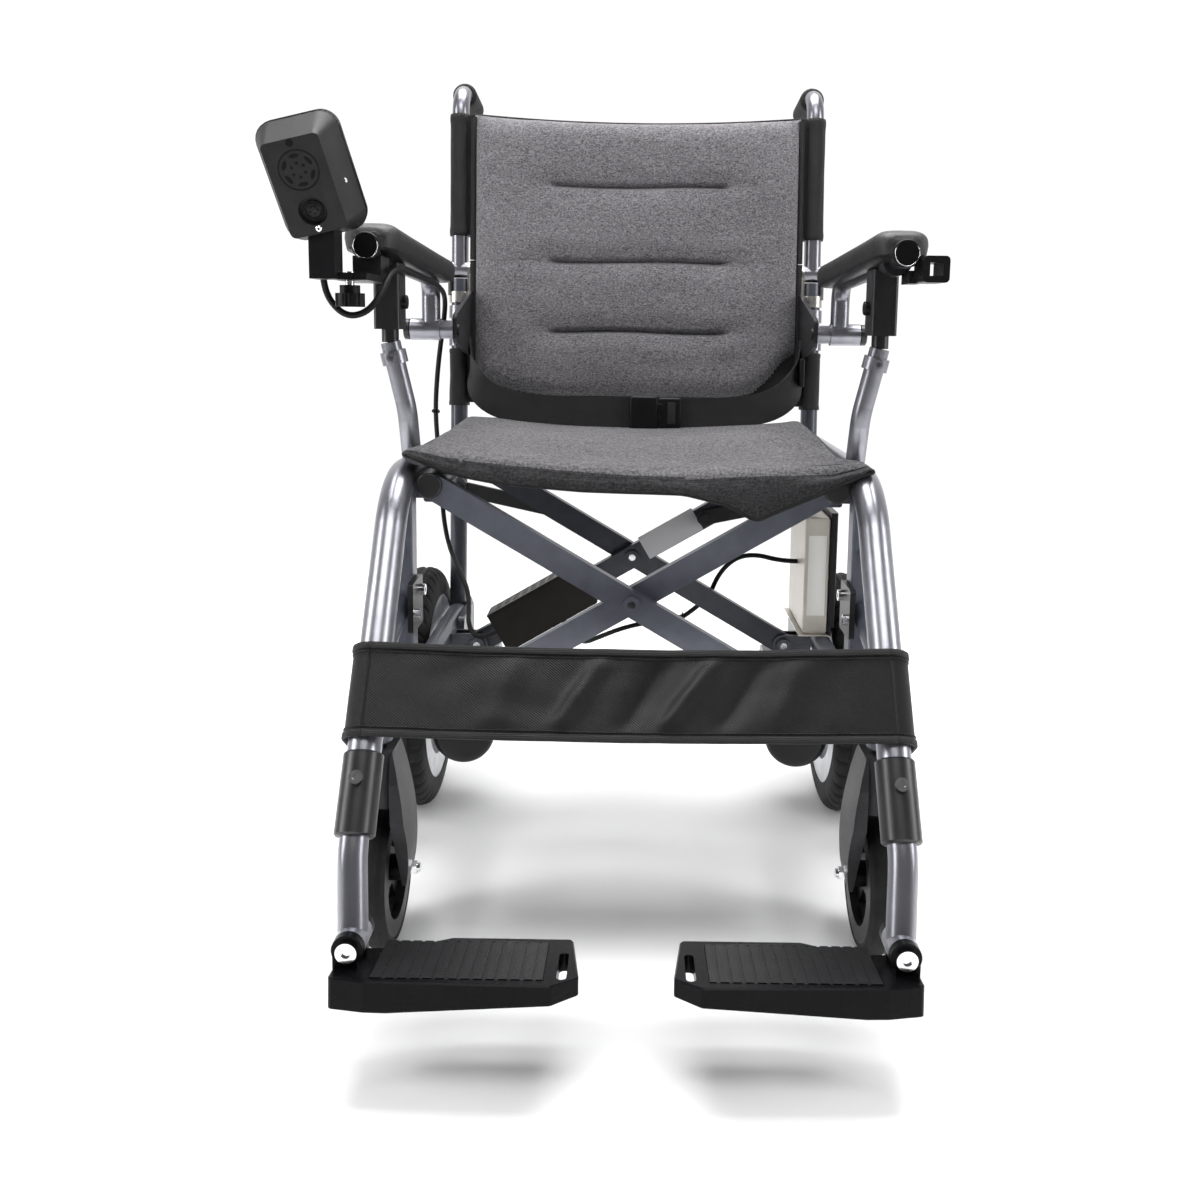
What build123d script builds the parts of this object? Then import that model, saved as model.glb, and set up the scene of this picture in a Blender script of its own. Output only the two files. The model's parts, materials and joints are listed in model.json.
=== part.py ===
"""Side-folding power wheelchair, in millimetres.

Frame: origin on the floor in the mid plane of the side frames, +Z up, +X to the user's left,
the chair faces -Y. Every pair is modelled on the +X side and mirrored.
"""
from build123d import *
from math import cos, radians, sin, tan
import os

# ---- driving dimensions -------------------------------------------------
SIDE_X = 232          # plane of each side frame's tubes
POST_R = 15           # front post and seat-level tube, outer radius
TUBE_R = 12.5         # lower rail and leg-rest tube
CANE_R = 11           # rear post, back cane and armrest tube
WALL = 2
RUN = 0.05            # radial clearance of a running pin

RAIL_X, RAIL_Z = 202, 460        # seat rails
RAIL_R, RAIL_FRONT, RAIL_BACK = 12, -121, 230
PIVOT_X, PIVOT_Z = 188, 231      # lower ends of the cross arms
ARM_HALF, ARM_T = 13, 13.5       # half height and thickness of a cross arm
PLANES = (-106, 134)             # Y of the front and the rear pair of arms
SLOPE = (RAIL_Z - PIVOT_Z) / (RAIL_X + PIVOT_X)
CENTRE_Z = PIVOT_Z + SLOPE * PIVOT_X
LINK_PIVOT, LINK_END_X, LINK_T = (215, 419.3), 86.1, 5   # side links that steady the arms

TOP_Z = 468                      # seat-level tube
LOWER_Z = 238                    # lower rail
POST_FOOT = (SIDE_X, -293, 237)  # lower end of the front post
POST_CORNER = (SIDE_X, -135, TOP_Z)

CASTER_X, CASTER_R, CASTER_W = 243, 77, 27
CASTER_Y, STEM_Y = -157, -197    # wheel axle, and the stem that it trails
DRIVE_X, DRIVE_R, DRIVE_W = 270, 153, 46
DRIVE_Y = 200

RECLINE = radians(4.74)
POST_Y = 255                     # rear post's axis where it meets the lower rail
HINGE_Z = 690                    # half-fold hinge of the back
CANE_TOP = 924

SOCKET_DEPTH = 60                # how far the leg tube sits in its socket
FOOT_X, FOOT_Y, FOOT_Z = 226, -362, 116.5   # footplate pivot
FOOT_TILT = 6                    # toe end up, degrees
PLATE_DROP = 17                  # footplate's top below its pivot
PLATE_DEEP = 25                  # footplate's depth at its heel

ARMREST_X = 246
GUSSET_X = 216                   # inboard of the armrest pad, which swings past it
ARM_PIVOT_Y, ARM_PIVOT_Z = 150, 612
ARM_FRONT_Y, ARM_FRONT_Z, ARM_REAR_Z = -182, 688, 674

STICK_X, STICK_Y, STICK_Z = -279.5, -243, 739  # centre of the joystick housing
STICK_TILT, STICK_LEAN = 70, 13.5    # panel turned back towards the user, housing leaning out
STICK_W, STICK_L, STICK_D = 72, 103, 50      # housing across, along and through
STICK_TAPER = 17                 # degrees its belly draws in on each side
CORD_R = 3                       # joystick lead and battery leads

SIDES = (("left", 1), ("right", -1))


# ---- small helpers ------------------------------------------------------
def post_y(z):
    """Y of the rear post's and back cane's axis at height z."""
    return POST_Y + (z - LOWER_Z - TUBE_R) * tan(RECLINE)


def front_y(z):
    """Y of the straight front post's axis at height z."""
    run = (z - POST_FOOT[2]) / (POST_CORNER[2] - POST_FOOT[2])
    return POST_FOOT[1] + run * (POST_CORNER[1] - POST_FOOT[1])


def rod(r, a, b, hole=0):
    """Round bar, or a tube with that hole radius, from point a to point b."""
    a, b = Vector(*a), Vector(*b)
    plane = Plane(origin=a, z_dir=b - a)
    bar = Solid.make_cylinder(r, (b - a).length, plane)
    if hole:
        bar = bar - Solid.make_cylinder(hole, (b - a).length, plane)
    return bar


def block(x, y, z, fillet_r=0, edges=None):
    """Box between two X, two Y and two Z values, with its edges along one axis rounded."""
    solid = Pos(x[0], y[0], z[0]) * Box(
        x[1] - x[0], y[1] - y[0], z[1] - z[0], align=(Align.MIN, Align.MIN, Align.MIN)
    )
    if fillet_r:
        picked = solid.edges().filter_by(edges) if edges else solid.edges()
        solid = fillet(picked, fillet_r)
    return solid


def pipe(points, bends, r, wall=WALL):
    """Bent tube along straight runs with tangent arcs."""
    path = FilletPolyline(*[Vector(*p) for p in points], radius=bends)
    start = Plane(origin=path @ 0, z_dir=path % 0)
    outer = sweep(start * Circle(r), path=path)
    if not wall:
        return outer
    return outer - sweep(start * Circle(r - wall), path=path)


def plate_yz(points, x, thickness):
    """Flat plate in a YZ plane, centred on x."""
    face = make_face(Polyline(*[Vector(x - thickness / 2, y, z) for y, z in points], close=True))
    return extrude(face, amount=thickness, dir=(1, 0, 0))


def plate_xz(points, y, thickness):
    """Flat plate in an XZ plane that starts at y and grows towards +Y."""
    face = make_face(Polyline(*[Vector(x, y, z) for x, z in points], close=True))
    return extrude(face, amount=thickness, dir=(0, 1, 0))


def screw(r, at, out, head=0.0, shank=6.0):
    """Socket-head screw: at is on the face it clamps, out points out of that face."""
    at, out = Vector(*at), Vector(*out)
    head = head or r * 1.1
    body = Solid.make_cylinder(r * 1.75, head, Plane(origin=at, z_dir=out))
    top = at + out * head
    body = body - Solid.make_cylinder(r * 0.85, head * 0.55, Plane(origin=top, z_dir=out * -1))
    if shank:
        body = body + Solid.make_cylinder(r, shank, Plane(origin=at, z_dir=out * -1))
    return body


def group(*shapes):
    """Several separate solids kept in one node."""
    solids = []
    for shape in shapes:
        solids += shape.solids()
    return Compound(children=solids)


def keep_main(shape):
    """The largest solid of a cut, without crumbs."""
    return max(shape.solids(), key=lambda s: s.volume)


# ---- side frame ---------------------------------------------------------
def side_tube():
    end = (SIDE_X, post_y(TOP_Z) - CANE_R + 3, TOP_Z)
    tube = pipe([POST_FOOT, POST_CORNER, end], 95, POST_R)
    return keep_main(tube - rear_post_axis(CANE_R))


def rear_post_axis(r):
    """Envelope of the rear post, to cut what butts against it."""
    low, high = LOWER_Z, HINGE_Z
    return rod(r, (SIDE_X, post_y(low), low), (SIDE_X, post_y(high), high))


def post_envelope():
    return pipe([POST_FOOT, POST_CORNER, (SIDE_X, POST_Y + 5, TOP_Z)], 95, POST_R, wall=0)


def lower_rail():
    start, end, plug = STEM_Y + 17, 305, 243
    rail = rod(TUBE_R, (SIDE_X, STEM_Y, LOWER_Z), (SIDE_X, end, LOWER_Z))
    bore = rod(TUBE_R - WALL, (SIDE_X, start, LOWER_Z), (SIDE_X, plug - 5, LOWER_Z))
    receiver = rod(9.5, (SIDE_X, plug, LOWER_Z), (SIDE_X, end, LOWER_Z))
    stem = rod(17, (CASTER_X, STEM_Y, 200), (CASTER_X, STEM_Y, 300))
    return keep_main(rail - bore - receiver - stem)


def caster_housing():
    sleeve = rod(17, (CASTER_X, STEM_Y, 226), (CASTER_X, STEM_Y, 300))
    web = block((228, 244), (-262, STEM_Y), (250.6, 284))
    housing = sleeve + web
    housing = housing - rod(16, (CASTER_X, STEM_Y, 226), (CASTER_X, STEM_Y, 292))
    return keep_main(housing - post_envelope())


def stem_bearings():
    rings = [
        rod(16, (CASTER_X, STEM_Y, z), (CASTER_X, STEM_Y, z + 11), hole=8 + RUN) for z in (228, 279)
    ]
    return group(*rings)


def seat_strut():
    strut = block((219.5, 244.5), (-122, -97), (LOWER_Z, TOP_Z), 2, Axis.Z)
    strut = strut - block((221.5, 242.5), (-120, -99), (LOWER_Z, TOP_Z))
    strut = strut - rod(TUBE_R, (SIDE_X, -200, LOWER_Z), (SIDE_X, 100, LOWER_Z)) - post_envelope()
    return keep_main(strut)


def frame_brace():
    low = (SIDE_X, front_y(302), 302)
    high = (SIDE_X, -115, 340)
    tube = rod(10, low, high, hole=8)
    strut = block((219.5, 244.5), (-122, -90), (LOWER_Z, TOP_Z))
    return keep_main(tube - post_envelope() - strut)


def brace_bracket():
    """Black shoe where the brace meets the strut, with its two bolts, and the strut's plug."""
    shoe = block((214, 219.5), (-150, -98), (316, 366), 4, Axis.X)
    bolts = [screw(3.2, (214, y, z), (-1, 0, 0), head=5, shank=0) for y, z in ((-140, 334), (-110, 352))]
    plug = Pos(SIDE_X, -122, 392) * Rot(90, 0, 0) * extrude(SlotOverall(20, 13, rotation=90), amount=2)
    return group(shoe, *bolts, plug)


def rear_post():
    low = (SIDE_X, post_y(LOWER_Z + 1), LOWER_Z + 1)
    high = (SIDE_X, post_y(HINGE_Z), HINGE_Z)
    post = rod(CANE_R, low, high, hole=CANE_R - WALL)
    post = post - rod(TUBE_R, (SIDE_X, 200, LOWER_Z), (SIDE_X, 320, LOWER_Z))
    return keep_main(post - block((200, 260), (200, 400), (HINGE_Z - CANE_R - 0.8, HINGE_Z + 40)))


def back_hinge():
    """Two nickel plates that carry the half-fold pin on top of the rear post, and the pin."""
    y, z = post_y(HINGE_Z), HINGE_Z
    cheeks = []
    for x in (SIDE_X - CANE_R - 1.6, SIDE_X + CANE_R + 1.6):
        outline = [(post_y(z - 34) - 10, z - 34), (post_y(z - 34) + 10, z - 34), (y + 11, z), (y - 11, z)]
        cheek = plate_yz(outline, x, 3) + rod(11, (x - 1.5, y, z), (x + 1.5, y, z))
        cheeks.append(cheek)
    pin = rod(4, (SIDE_X - CANE_R - 3.1, y, z), (SIDE_X + CANE_R + 3.1, y, z))
    heads = [
        rod(6.5, (SIDE_X + s * (CANE_R + 3.1), y, z), (SIDE_X + s * (CANE_R + 6), y, z)) for s in (1, -1)
    ]
    hinge = cheeks[0] + cheeks[1] + pin + heads[0] + heads[1]
    clamp = rod(CANE_R + 3.1, (SIDE_X, post_y(z - 44), z - 44), (SIDE_X, post_y(z - 30), z - 30))
    clamp = clamp - rear_post_axis(CANE_R)
    return keep_main(hinge + clamp - rear_post())


def arm_gusset():
    """Black plate from the rear post forward to the armrest pivot, with its clamp on the post."""
    outline = [(138, 596), (138, 630), (158, 634), (282, 664), (282, 574)]
    plate = fillet(plate_yz(outline, GUSSET_X, 5).edges().filter_by(Axis.X), 8)
    for z in (590, 626):
        low, high = (SIDE_X, post_y(z), z), (SIDE_X, post_y(z + 16), z + 16)
        plate = plate + rod(CANE_R + 3, low, high) + block((GUSSET_X, SIDE_X), (262, 282), (z, z + 14))
    plate = plate - rear_post_axis(CANE_R)
    return keep_main(plate - rod(7, (200, ARM_PIVOT_Y, ARM_PIVOT_Z), (300, ARM_PIVOT_Y, ARM_PIVOT_Z)))


def armrest_pin():
    pin = rod(7, (GUSSET_X - 4, ARM_PIVOT_Y, ARM_PIVOT_Z), (272, ARM_PIVOT_Y, ARM_PIVOT_Z))
    collar = rod(11, (GUSSET_X + 2.5, ARM_PIVOT_Y, ARM_PIVOT_Z), (234.4, ARM_PIVOT_Y, ARM_PIVOT_Z))
    cap = rod(12.5, (270.5, ARM_PIVOT_Y, ARM_PIVOT_Z), (278, ARM_PIVOT_Y, ARM_PIVOT_Z))
    cap = chamfer(cap.edges(), 1.2)
    return pin + collar + cap


def armrest_support():
    """Curved tube from the seat-level tube up to the latch, with its clamp collar."""
    foot, knee, head = (229, -66, 476), (231, -80, 532), (ARMREST_X, -85, 600)
    tube = pipe([foot, knee, head], 90, 10, wall=0) - post_envelope()
    inner = rod(8.5, head, (ARMREST_X, -85, 613))
    return keep_main(tube + inner)


def support_collar():
    axis = Vector(ARMREST_X - 231, -5, 68).normalized()
    top = Vector(ARMREST_X, -85, 600)
    ring = Solid.make_cylinder(13, 13, Plane(origin=top - axis * 22, z_dir=axis))
    ring = ring - Solid.make_cylinder(10, 13, Plane(origin=top - axis * 22, z_dir=axis))
    centre = top - axis * 15.5
    bolt = screw(2.6, (centre.X, centre.Y - 12.6, centre.Z), (0, -1, 0), head=3, shank=0)
    return group(ring, bolt)


def armrest_latch():
    body = block((ARMREST_X - 13, ARMREST_X + 13), (-103, -67), (613, 678))
    body = fillet(body.edges().filter_by(Axis.Z), 4)
    tube_z = armrest_z(-85)
    body = body - rod(CANE_R + 0.5, (ARMREST_X, -140, armrest_z(-140)), (ARMREST_X, -30, armrest_z(-30)))
    body = body - block((ARMREST_X - 11.5, ARMREST_X + 11.5), (-110, -60), (tube_z, tube_z + 20))
    button = rod(7.1, (ARMREST_X - 14, -85, 640), (ARMREST_X - 4, -85, 640))
    return keep_main(body - button)


def latch_button():
    button = rod(7, (ARMREST_X - 18, -85, 640), (ARMREST_X - 8, -85, 640))
    return fillet(button.edges().group_by(Axis.X)[0], 1.5)


def leg_socket():
    axis = Vector(*POST_CORNER) - Vector(*POST_FOOT)
    axis = axis.normalized()
    foot = Vector(*POST_FOOT)
    low, high = foot - axis * SOCKET_DEPTH, foot + axis * 11
    sleeve = Solid.make_cylinder(17.5, (high - low).length, Plane(origin=low, z_dir=axis))
    sleeve = chamfer(sleeve.edges(), 1.5)
    sleeve = sleeve - Solid.make_cylinder(TUBE_R, SOCKET_DEPTH, Plane(origin=low, z_dir=axis))
    return sleeve - Solid.make_cylinder(POST_R, 20, Plane(origin=foot, z_dir=axis))


def socket_screw():
    axis = (Vector(*POST_CORNER) - Vector(*POST_FOOT)).normalized()
    out = Vector(0, -axis.Z, axis.Y)
    at = Vector(*POST_FOOT) - axis * 14 + out * 17.6
    return screw(3.4, (at.X, at.Y, at.Z), (out.X, out.Y, out.Z), head=4, shank=0)


def leg_tube():
    """Tube from the socket down to the eye that carries the footplate."""
    axis = (Vector(*POST_CORNER) - Vector(*POST_FOOT)).normalized()
    top, knee = Vector(*POST_FOOT) - axis * 2, Vector(*POST_FOOT) - axis * (SOCKET_DEPTH + 14)
    pivot = (FOOT_X, FOOT_Y, FOOT_Z)
    tube = pipe([tuple(top), tuple(knee), pivot], 130, TUBE_R)
    ends = (FOOT_X, FOOT_Y - 13, FOOT_Z), (FOOT_X, FOOT_Y + 13, FOOT_Z)
    below = block((200, 260), (-420, -300), (60, FOOT_Z))
    tube = tube - below + rod(13, *ends)
    for a, b in ((-30, -13), (13, 30)):
        tube = tube - rod(14, (FOOT_X, FOOT_Y + a, FOOT_Z), (FOOT_X, FOOT_Y + b, FOOT_Z))
    return keep_main(tube - rod(4, *ends))


def foot_bolt():
    bolt = rod(4, (FOOT_X, FOOT_Y - 21, FOOT_Z), (FOOT_X, FOOT_Y + 24, FOOT_Z))
    head = screw(5, (FOOT_X, FOOT_Y - 21, FOOT_Z), (0, -1, 0), head=4.5, shank=0)
    return bolt + head


# ---- footplate ----------------------------------------------------------
def footplate_outline():
    tip, heel = 38, 238
    front, back = -408, -320
    return [
        (tip, front + 16), (tip + 22, front), (heel - 30, front + 4), (heel, front + 10),
        (heel, back - 22), (190, back - 22), (150, back), (tip + 8, back),
    ]


def tilted(shape):
    """Turns the level footplate nose-up about its pivot."""
    return Pos(0, FOOT_Y, FOOT_Z) * Rot(-FOOT_TILT, 0, 0) * Pos(0, -FOOT_Y, -FOOT_Z) * shape


def footplate():
    top = FOOT_Z - PLATE_DROP
    face = make_face(Polyline(*[Vector(x, y, top - PLATE_DEEP) for x, y in footplate_outline()], close=True))
    plate = extrude(face, amount=PLATE_DEEP, dir=(0, 0, 1))
    plate = fillet(plate.edges().filter_by(Axis.Z), 5)
    low = top - PLATE_DEEP
    under = plate_xz([(20, low - 6), (20, low + 12), (190, low), (190, low - 6)], -460, 200)
    plate = plate - under
    plate = chamfer(plate.faces().sort_by(Axis.Z)[-1].edges(), 1.2)
    plate = plate - block((48, 56), (-396, -348), (top - 60, top + 5), 3.9, Axis.Z)
    plate = plate - block((66, 205), (-398, -328), (top - 2, top + 5))
    plate = tilted(plate)
    for y in (FOOT_Y - 20.8, FOOT_Y + 13.4):
        lug = rod(13, (FOOT_X, y, FOOT_Z), (FOOT_X, y + 7.4, FOOT_Z))
        plate = plate + lug + block((FOOT_X - 8, FOOT_X + 12), (y, y + 7.4), (top - 16, FOOT_Z))
    gap = block((FOOT_X - 18, FOOT_X + 25), (FOOT_Y - 13.4, FOOT_Y + 13.4), (FOOT_Z - 13.5, FOOT_Z + 14))
    plate = plate - gap - rod(13.5, (FOOT_X, FOOT_Y - 13.4, FOOT_Z), (FOOT_X, FOOT_Y + 13.4, FOOT_Z))
    plate = plate - rod(4 + RUN, (FOOT_X, -420, FOOT_Z), (FOOT_X, -300, FOOT_Z))
    return keep_main(plate)


def footplate_grip():
    top = FOOT_Z - PLATE_DROP
    pad = block((66.5, 204.5), (-397.5, -328.5), (top - 2, top + 0.6))
    for i in range(13):
        x = 72 + 10 * i
        pad = pad - block((x, x + 3), (-400, -320), (top - 0.1, top + 2))
    return tilted(pad)


# ---- caster -------------------------------------------------------------
def caster_fork():
    """Moulded fork: tall crown, two bowed arms and the stem."""
    crown = block((CASTER_X - 21, CASTER_X + 21), (STEM_Y - 22, STEM_Y + 24), (165, 221), 9, Axis.Z)
    crown = crown - rod(CASTER_R + 6, (180, CASTER_Y, CASTER_R), (300, CASTER_Y, CASTER_R))
    arms = []
    for s in (1, -1):
        outline = [
            (STEM_Y - 20, 221), (STEM_Y + 22, 221), (STEM_Y + 30, 180),
            (CASTER_Y + 17, CASTER_R + 8), (CASTER_Y + 15, CASTER_R - 16),
            (CASTER_Y - 10, CASTER_R - 16), (STEM_Y - 24, 150), (STEM_Y - 26, 190),
        ]
        arm = plate_yz(outline, CASTER_X + s * 24.5, 13)
        arm = fillet(arm.edges().filter_by(Axis.X), 7)
        bow = rod(320, (CASTER_X + s * (31 - 320), -400, 138), (CASTER_X + s * (31 - 320), 0, 138))
        arms.append(arm & bow)
    stem = rod(8, (CASTER_X, STEM_Y, 215), (CASTER_X, STEM_Y, 290))
    collar = rod(11, (CASTER_X, STEM_Y, 221), (CASTER_X, STEM_Y, 225.5))
    fork = crown + arms[0] + arms[1] + stem + collar
    axle = rod(5, (CASTER_X - 60, CASTER_Y, CASTER_R), (CASTER_X + 60, CASTER_Y, CASTER_R))
    return keep_main(fork - axle)


def caster_axle():
    axle = rod(5, (CASTER_X - 26, CASTER_Y, CASTER_R), (CASTER_X + 26, CASTER_Y, CASTER_R))
    nuts = []
    for s in (1, -1):
        profile = Plane(origin=(CASTER_X + s * 25.3, CASTER_Y, CASTER_R), z_dir=(s, 0, 0))
        nut = extrude(profile * RegularPolygon(7, 6), amount=6)
        nuts.append(nut + Solid.make_cylinder(4.2, 9, profile))
    return axle + nuts[0] + nuts[1]


def turned(points, x, y, z):
    """Ring turned about an axis along X through (y, z); points are (offset along X, radius)."""
    face = make_face(Polyline(*[Vector(x + a, y, z + r) for a, r in points], close=True))
    return revolve(face, axis=Axis((x, y, z), (1, 0, 0)), revolution_arc=360)


def windows(count, inner, outer, x, y, z, spoke):
    """Cutters between straight spokes."""
    ring = turned([(-40, inner), (-40, outer), (40, outer), (40, inner)], x, y, z)
    for i in range(count):
        arm = Pos(x, y, z) * Rot(360 / count * i, 0, 0) * Box(
            90, spoke, outer + 5, align=(Align.CENTER, Align.CENTER, Align.MIN)
        )
        ring = ring - arm
    return ring


def caster_rim():
    w = CASTER_W / 2
    hub = turned([(-17.5, 5 + RUN), (-17.5, 13), (17.5, 13), (17.5, 5 + RUN)], CASTER_X, CASTER_Y, CASTER_R)
    disc = turned([(-4, 12), (-4, 58), (4, 58), (4, 12)], CASTER_X, CASTER_Y, CASTER_R)
    disc = disc - windows(5, 20, 48, CASTER_X, CASTER_Y, CASTER_R, 13)
    band = [(-w + 1, 50), (-w + 1, 66), (-w + 4, 66), (-8, 60), (8, 60), (w - 4, 66), (w - 1, 66), (w - 1, 50)]
    return hub + disc + turned(band, CASTER_X, CASTER_Y, CASTER_R)


def caster_tyre():
    w = CASTER_W / 2
    profile = [
        (-w + 4, 66), (-8, 60), (8, 60), (w - 4, 66), (w - 1, 66), (w - 0.5, 70), (w - 3.5, 74.5),
        (w - 8, 76.6), (0, CASTER_R), (-w + 8, 76.6), (-w + 3.5, 74.5), (-w + 0.5, 70), (-w + 1, 66),
    ]
    return turned(profile, CASTER_X, CASTER_Y, CASTER_R)


# ---- rear drive ---------------------------------------------------------
def drive_motor():
    """Gearbox on the axle bracket with the motor can lying forward of it, and the output shaft."""
    gearbox = block((172, 211.5), (150, 246), (108, 204), 20, Axis.X)
    can = rod(38, (203, 88, 126), (203, 149.9, 126))
    can = fillet(can.edges().group_by(Axis.Y)[0], 10)
    neck = block((178, 211.5), (149, 152), (112, 160))
    cover = rod(30, (167, DRIVE_Y, DRIVE_R), (173, DRIVE_Y, DRIVE_R))
    shaft = rod(8.5, (205, DRIVE_Y, DRIVE_R), (262, DRIVE_Y, DRIVE_R))
    return keep_main(gearbox + can + neck + cover + shaft)


def axle_bracket():
    plate = plate_yz([(138, 118), (262, 118), (262, 251), (174, 251), (156, 212), (138, 190)], 215.5, 7.9)
    plate = fillet(plate.edges().filter_by(Axis.X), 10)
    plate = plate - rod(9, (200, DRIVE_Y, DRIVE_R), (230, DRIVE_Y, DRIVE_R))
    plate = plate - rod(38.6, (203, 80, 126), (203, 149.9, 126))
    plate = plate - rod(TUBE_R, (SIDE_X, 100, LOWER_Z), (SIDE_X, 300, LOWER_Z))
    bolts = [
        screw(3.5, (219.45, y, z), (1, 0, 0), head=4, shank=0)
        for y, z in ((165, 122), (240, 122), (165, 190), (240, 190))
    ]
    return group(plate, *bolts)


def drive_rim():
    hub = turned([(-31, 8.5 + RUN), (-31, 24), (14, 24), (14, 8.5 + RUN)], DRIVE_X, DRIVE_Y, DRIVE_R)
    disc = turned([(-5, 20), (-5, 100), (5, 100), (5, 20)], DRIVE_X, DRIVE_Y, DRIVE_R)
    disc = disc - windows(6, 38, 88, DRIVE_X, DRIVE_Y, DRIVE_R, 22)
    band = [(-22, 88), (-22, 118), (-18, 118), (-14, 102), (14, 102), (18, 118), (22, 118), (22, 88)]
    cap = rod(20, (DRIVE_X + 13, DRIVE_Y, DRIVE_R), (DRIVE_X + 20, DRIVE_Y, DRIVE_R))
    cap = fillet(cap.edges().group_by(Axis.X)[-1], 3)
    return hub + disc + turned(band, DRIVE_X, DRIVE_Y, DRIVE_R) + cap


def drive_tyre():
    profile = [
        (-18, 118), (-14, 102), (14, 102), (18, 118), (22, 118), (23, 130), (21, 142), (16, 149),
        (8, 152.2), (0, DRIVE_R), (-8, 152.2), (-16, 149), (-21, 142), (-23, 130), (-22, 118),
    ]
    return turned(profile, DRIVE_X, DRIVE_Y, DRIVE_R)


# ---- folding cross brace ------------------------------------------------
def cross_arm(sign, y):
    """One arm from its lower pivot, on the side of -sign, up to the seat rail on the side of sign."""
    low, high = (-sign * PIVOT_X, PIVOT_Z), (sign * RAIL_X, RAIL_Z)
    length = ((high[0] - low[0]) ** 2 + (high[1] - low[1]) ** 2) ** 0.5
    ux, uz = (high[0] - low[0]) / length, (high[1] - low[1]) / length
    nx, nz = -uz * ARM_HALF, ux * ARM_HALF
    corners = [
        (low[0] + nx, low[1] + nz), (low[0] - nx, low[1] - nz),
        (high[0] - nx, high[1] - nz), (high[0] + nx, high[1] + nz),
    ]
    bar = plate_xz(corners, y, ARM_T)
    bar = bar + rod(ARM_HALF, (low[0], y, low[1]), (low[0], y + ARM_T, low[1]))
    bar = bar - rod(RAIL_R, (high[0], y - 5, high[1]), (high[0], y + ARM_T + 5, high[1]))
    bar = bar - rod(5 + RUN, (low[0], y - 5, low[1]), (low[0], y + ARM_T + 5, low[1]))
    centre_hole = 5 if sign > 0 else 5 + RUN
    bar = bar - rod(centre_hole, (0, y - 5, CENTRE_Z), (0, y + ARM_T + 5, CENTRE_Z))
    return keep_main(bar)


def arm_planes(sign):
    """Y of the faces where the arms of one hand start, front pair then rear pair."""
    front, rear = PLANES
    if sign > 0:
        return (front + 0.25, rear - 0.25 - ARM_T)
    return (front - 0.25 - ARM_T, rear + 0.25)


def cross_arms(sign):
    return group(*[cross_arm(sign, y) for y in arm_planes(sign)])


def centre_bolts():
    bolts = []
    for plane in PLANES:
        shank = rod(5, (0, plane - ARM_T - 0.5, CENTRE_Z), (0, plane + ARM_T + 3, CENTRE_Z))
        head = screw(5, (0, plane - ARM_T - 0.5, CENTRE_Z), (0, -1, 0), head=4, shank=0)
        nut = rod(8.5, (0, plane + ARM_T + 0.5, CENTRE_Z), (0, plane + ARM_T + 7, CENTRE_Z))
        bolts.append(shank + head + nut)
    return group(*bolts)


def seat_rail():
    return rod(RAIL_R, (RAIL_X, RAIL_FRONT, RAIL_Z), (RAIL_X, RAIL_BACK, RAIL_Z), hole=RAIL_R - WALL)


def rail_caps():
    caps = []
    for y, s in ((RAIL_FRONT, -1), (RAIL_BACK, 1)):
        cap = rod(RAIL_R + 0.8, (RAIL_X, y, RAIL_Z), (RAIL_X, y + s * 5, RAIL_Z))
        cap = fillet(cap.edges().sort_by(Axis.Y)[-1 if s > 0 else 0], 2)
        caps.append(cap + rod(RAIL_R - WALL, (RAIL_X, y - s * 12, RAIL_Z), (RAIL_X, y, RAIL_Z)))
    return group(*caps)


def pivot_brackets(hand):
    """Forks on the lower rail that hold the lower ends of the cross arms, with their bolts."""
    parts = []
    for own in arm_planes(hand):
        middle = own + ARM_T / 2
        for s in (1, -1):
            y = middle + s * (ARM_T / 2 + 0.4) - (4 if s < 0 else 0)
            lug = block((PIVOT_X, 219.5), (y, y + 4), (PIVOT_Z - 13, PIVOT_Z + 13))
            parts.append(lug + rod(13, (PIVOT_X, y, PIVOT_Z), (PIVOT_X, y + 4, PIVOT_Z)))
        base = block((215, 222), (middle - 11.15, middle + 11.15), (PIVOT_Z - 13, PIVOT_Z + 13))
        parts.append(base)
        bolt = rod(5, (PIVOT_X, middle - 12, PIVOT_Z), (PIVOT_X, middle + 12, PIVOT_Z))
        head = screw(5, (PIVOT_X, middle - 11.15, PIVOT_Z), (0, -1, 0), head=4.5, shank=0)
        nut = rod(8, (PIVOT_X, middle + 11.15, PIVOT_Z), (PIVOT_X, middle + 17, PIVOT_Z))
        parts.append(bolt + head + nut)
    whole = parts[0]
    for part in parts[1:]:
        whole = whole + part
    rail = rod(TUBE_R, (SIDE_X, -220, LOWER_Z), (SIDE_X, 300, LOWER_Z))
    strut = block((219.5, 244.5), (-122, -97), (LOWER_Z, TOP_Z))
    return group(whole - rail - strut)


def link_planes(hand):
    """Y where the side link starts, and where the lug that carries it starts."""
    if hand > 0:
        return PLANES[1] - 0.25 - ARM_T - 0.5 - LINK_T, PLANES[1] - 0.25 - ARM_T + 0.5
    return PLANES[1] + 0.25 + ARM_T + 0.5, PLANES[1] + 0.25 + ARM_T - 0.5 - LINK_T


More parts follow.
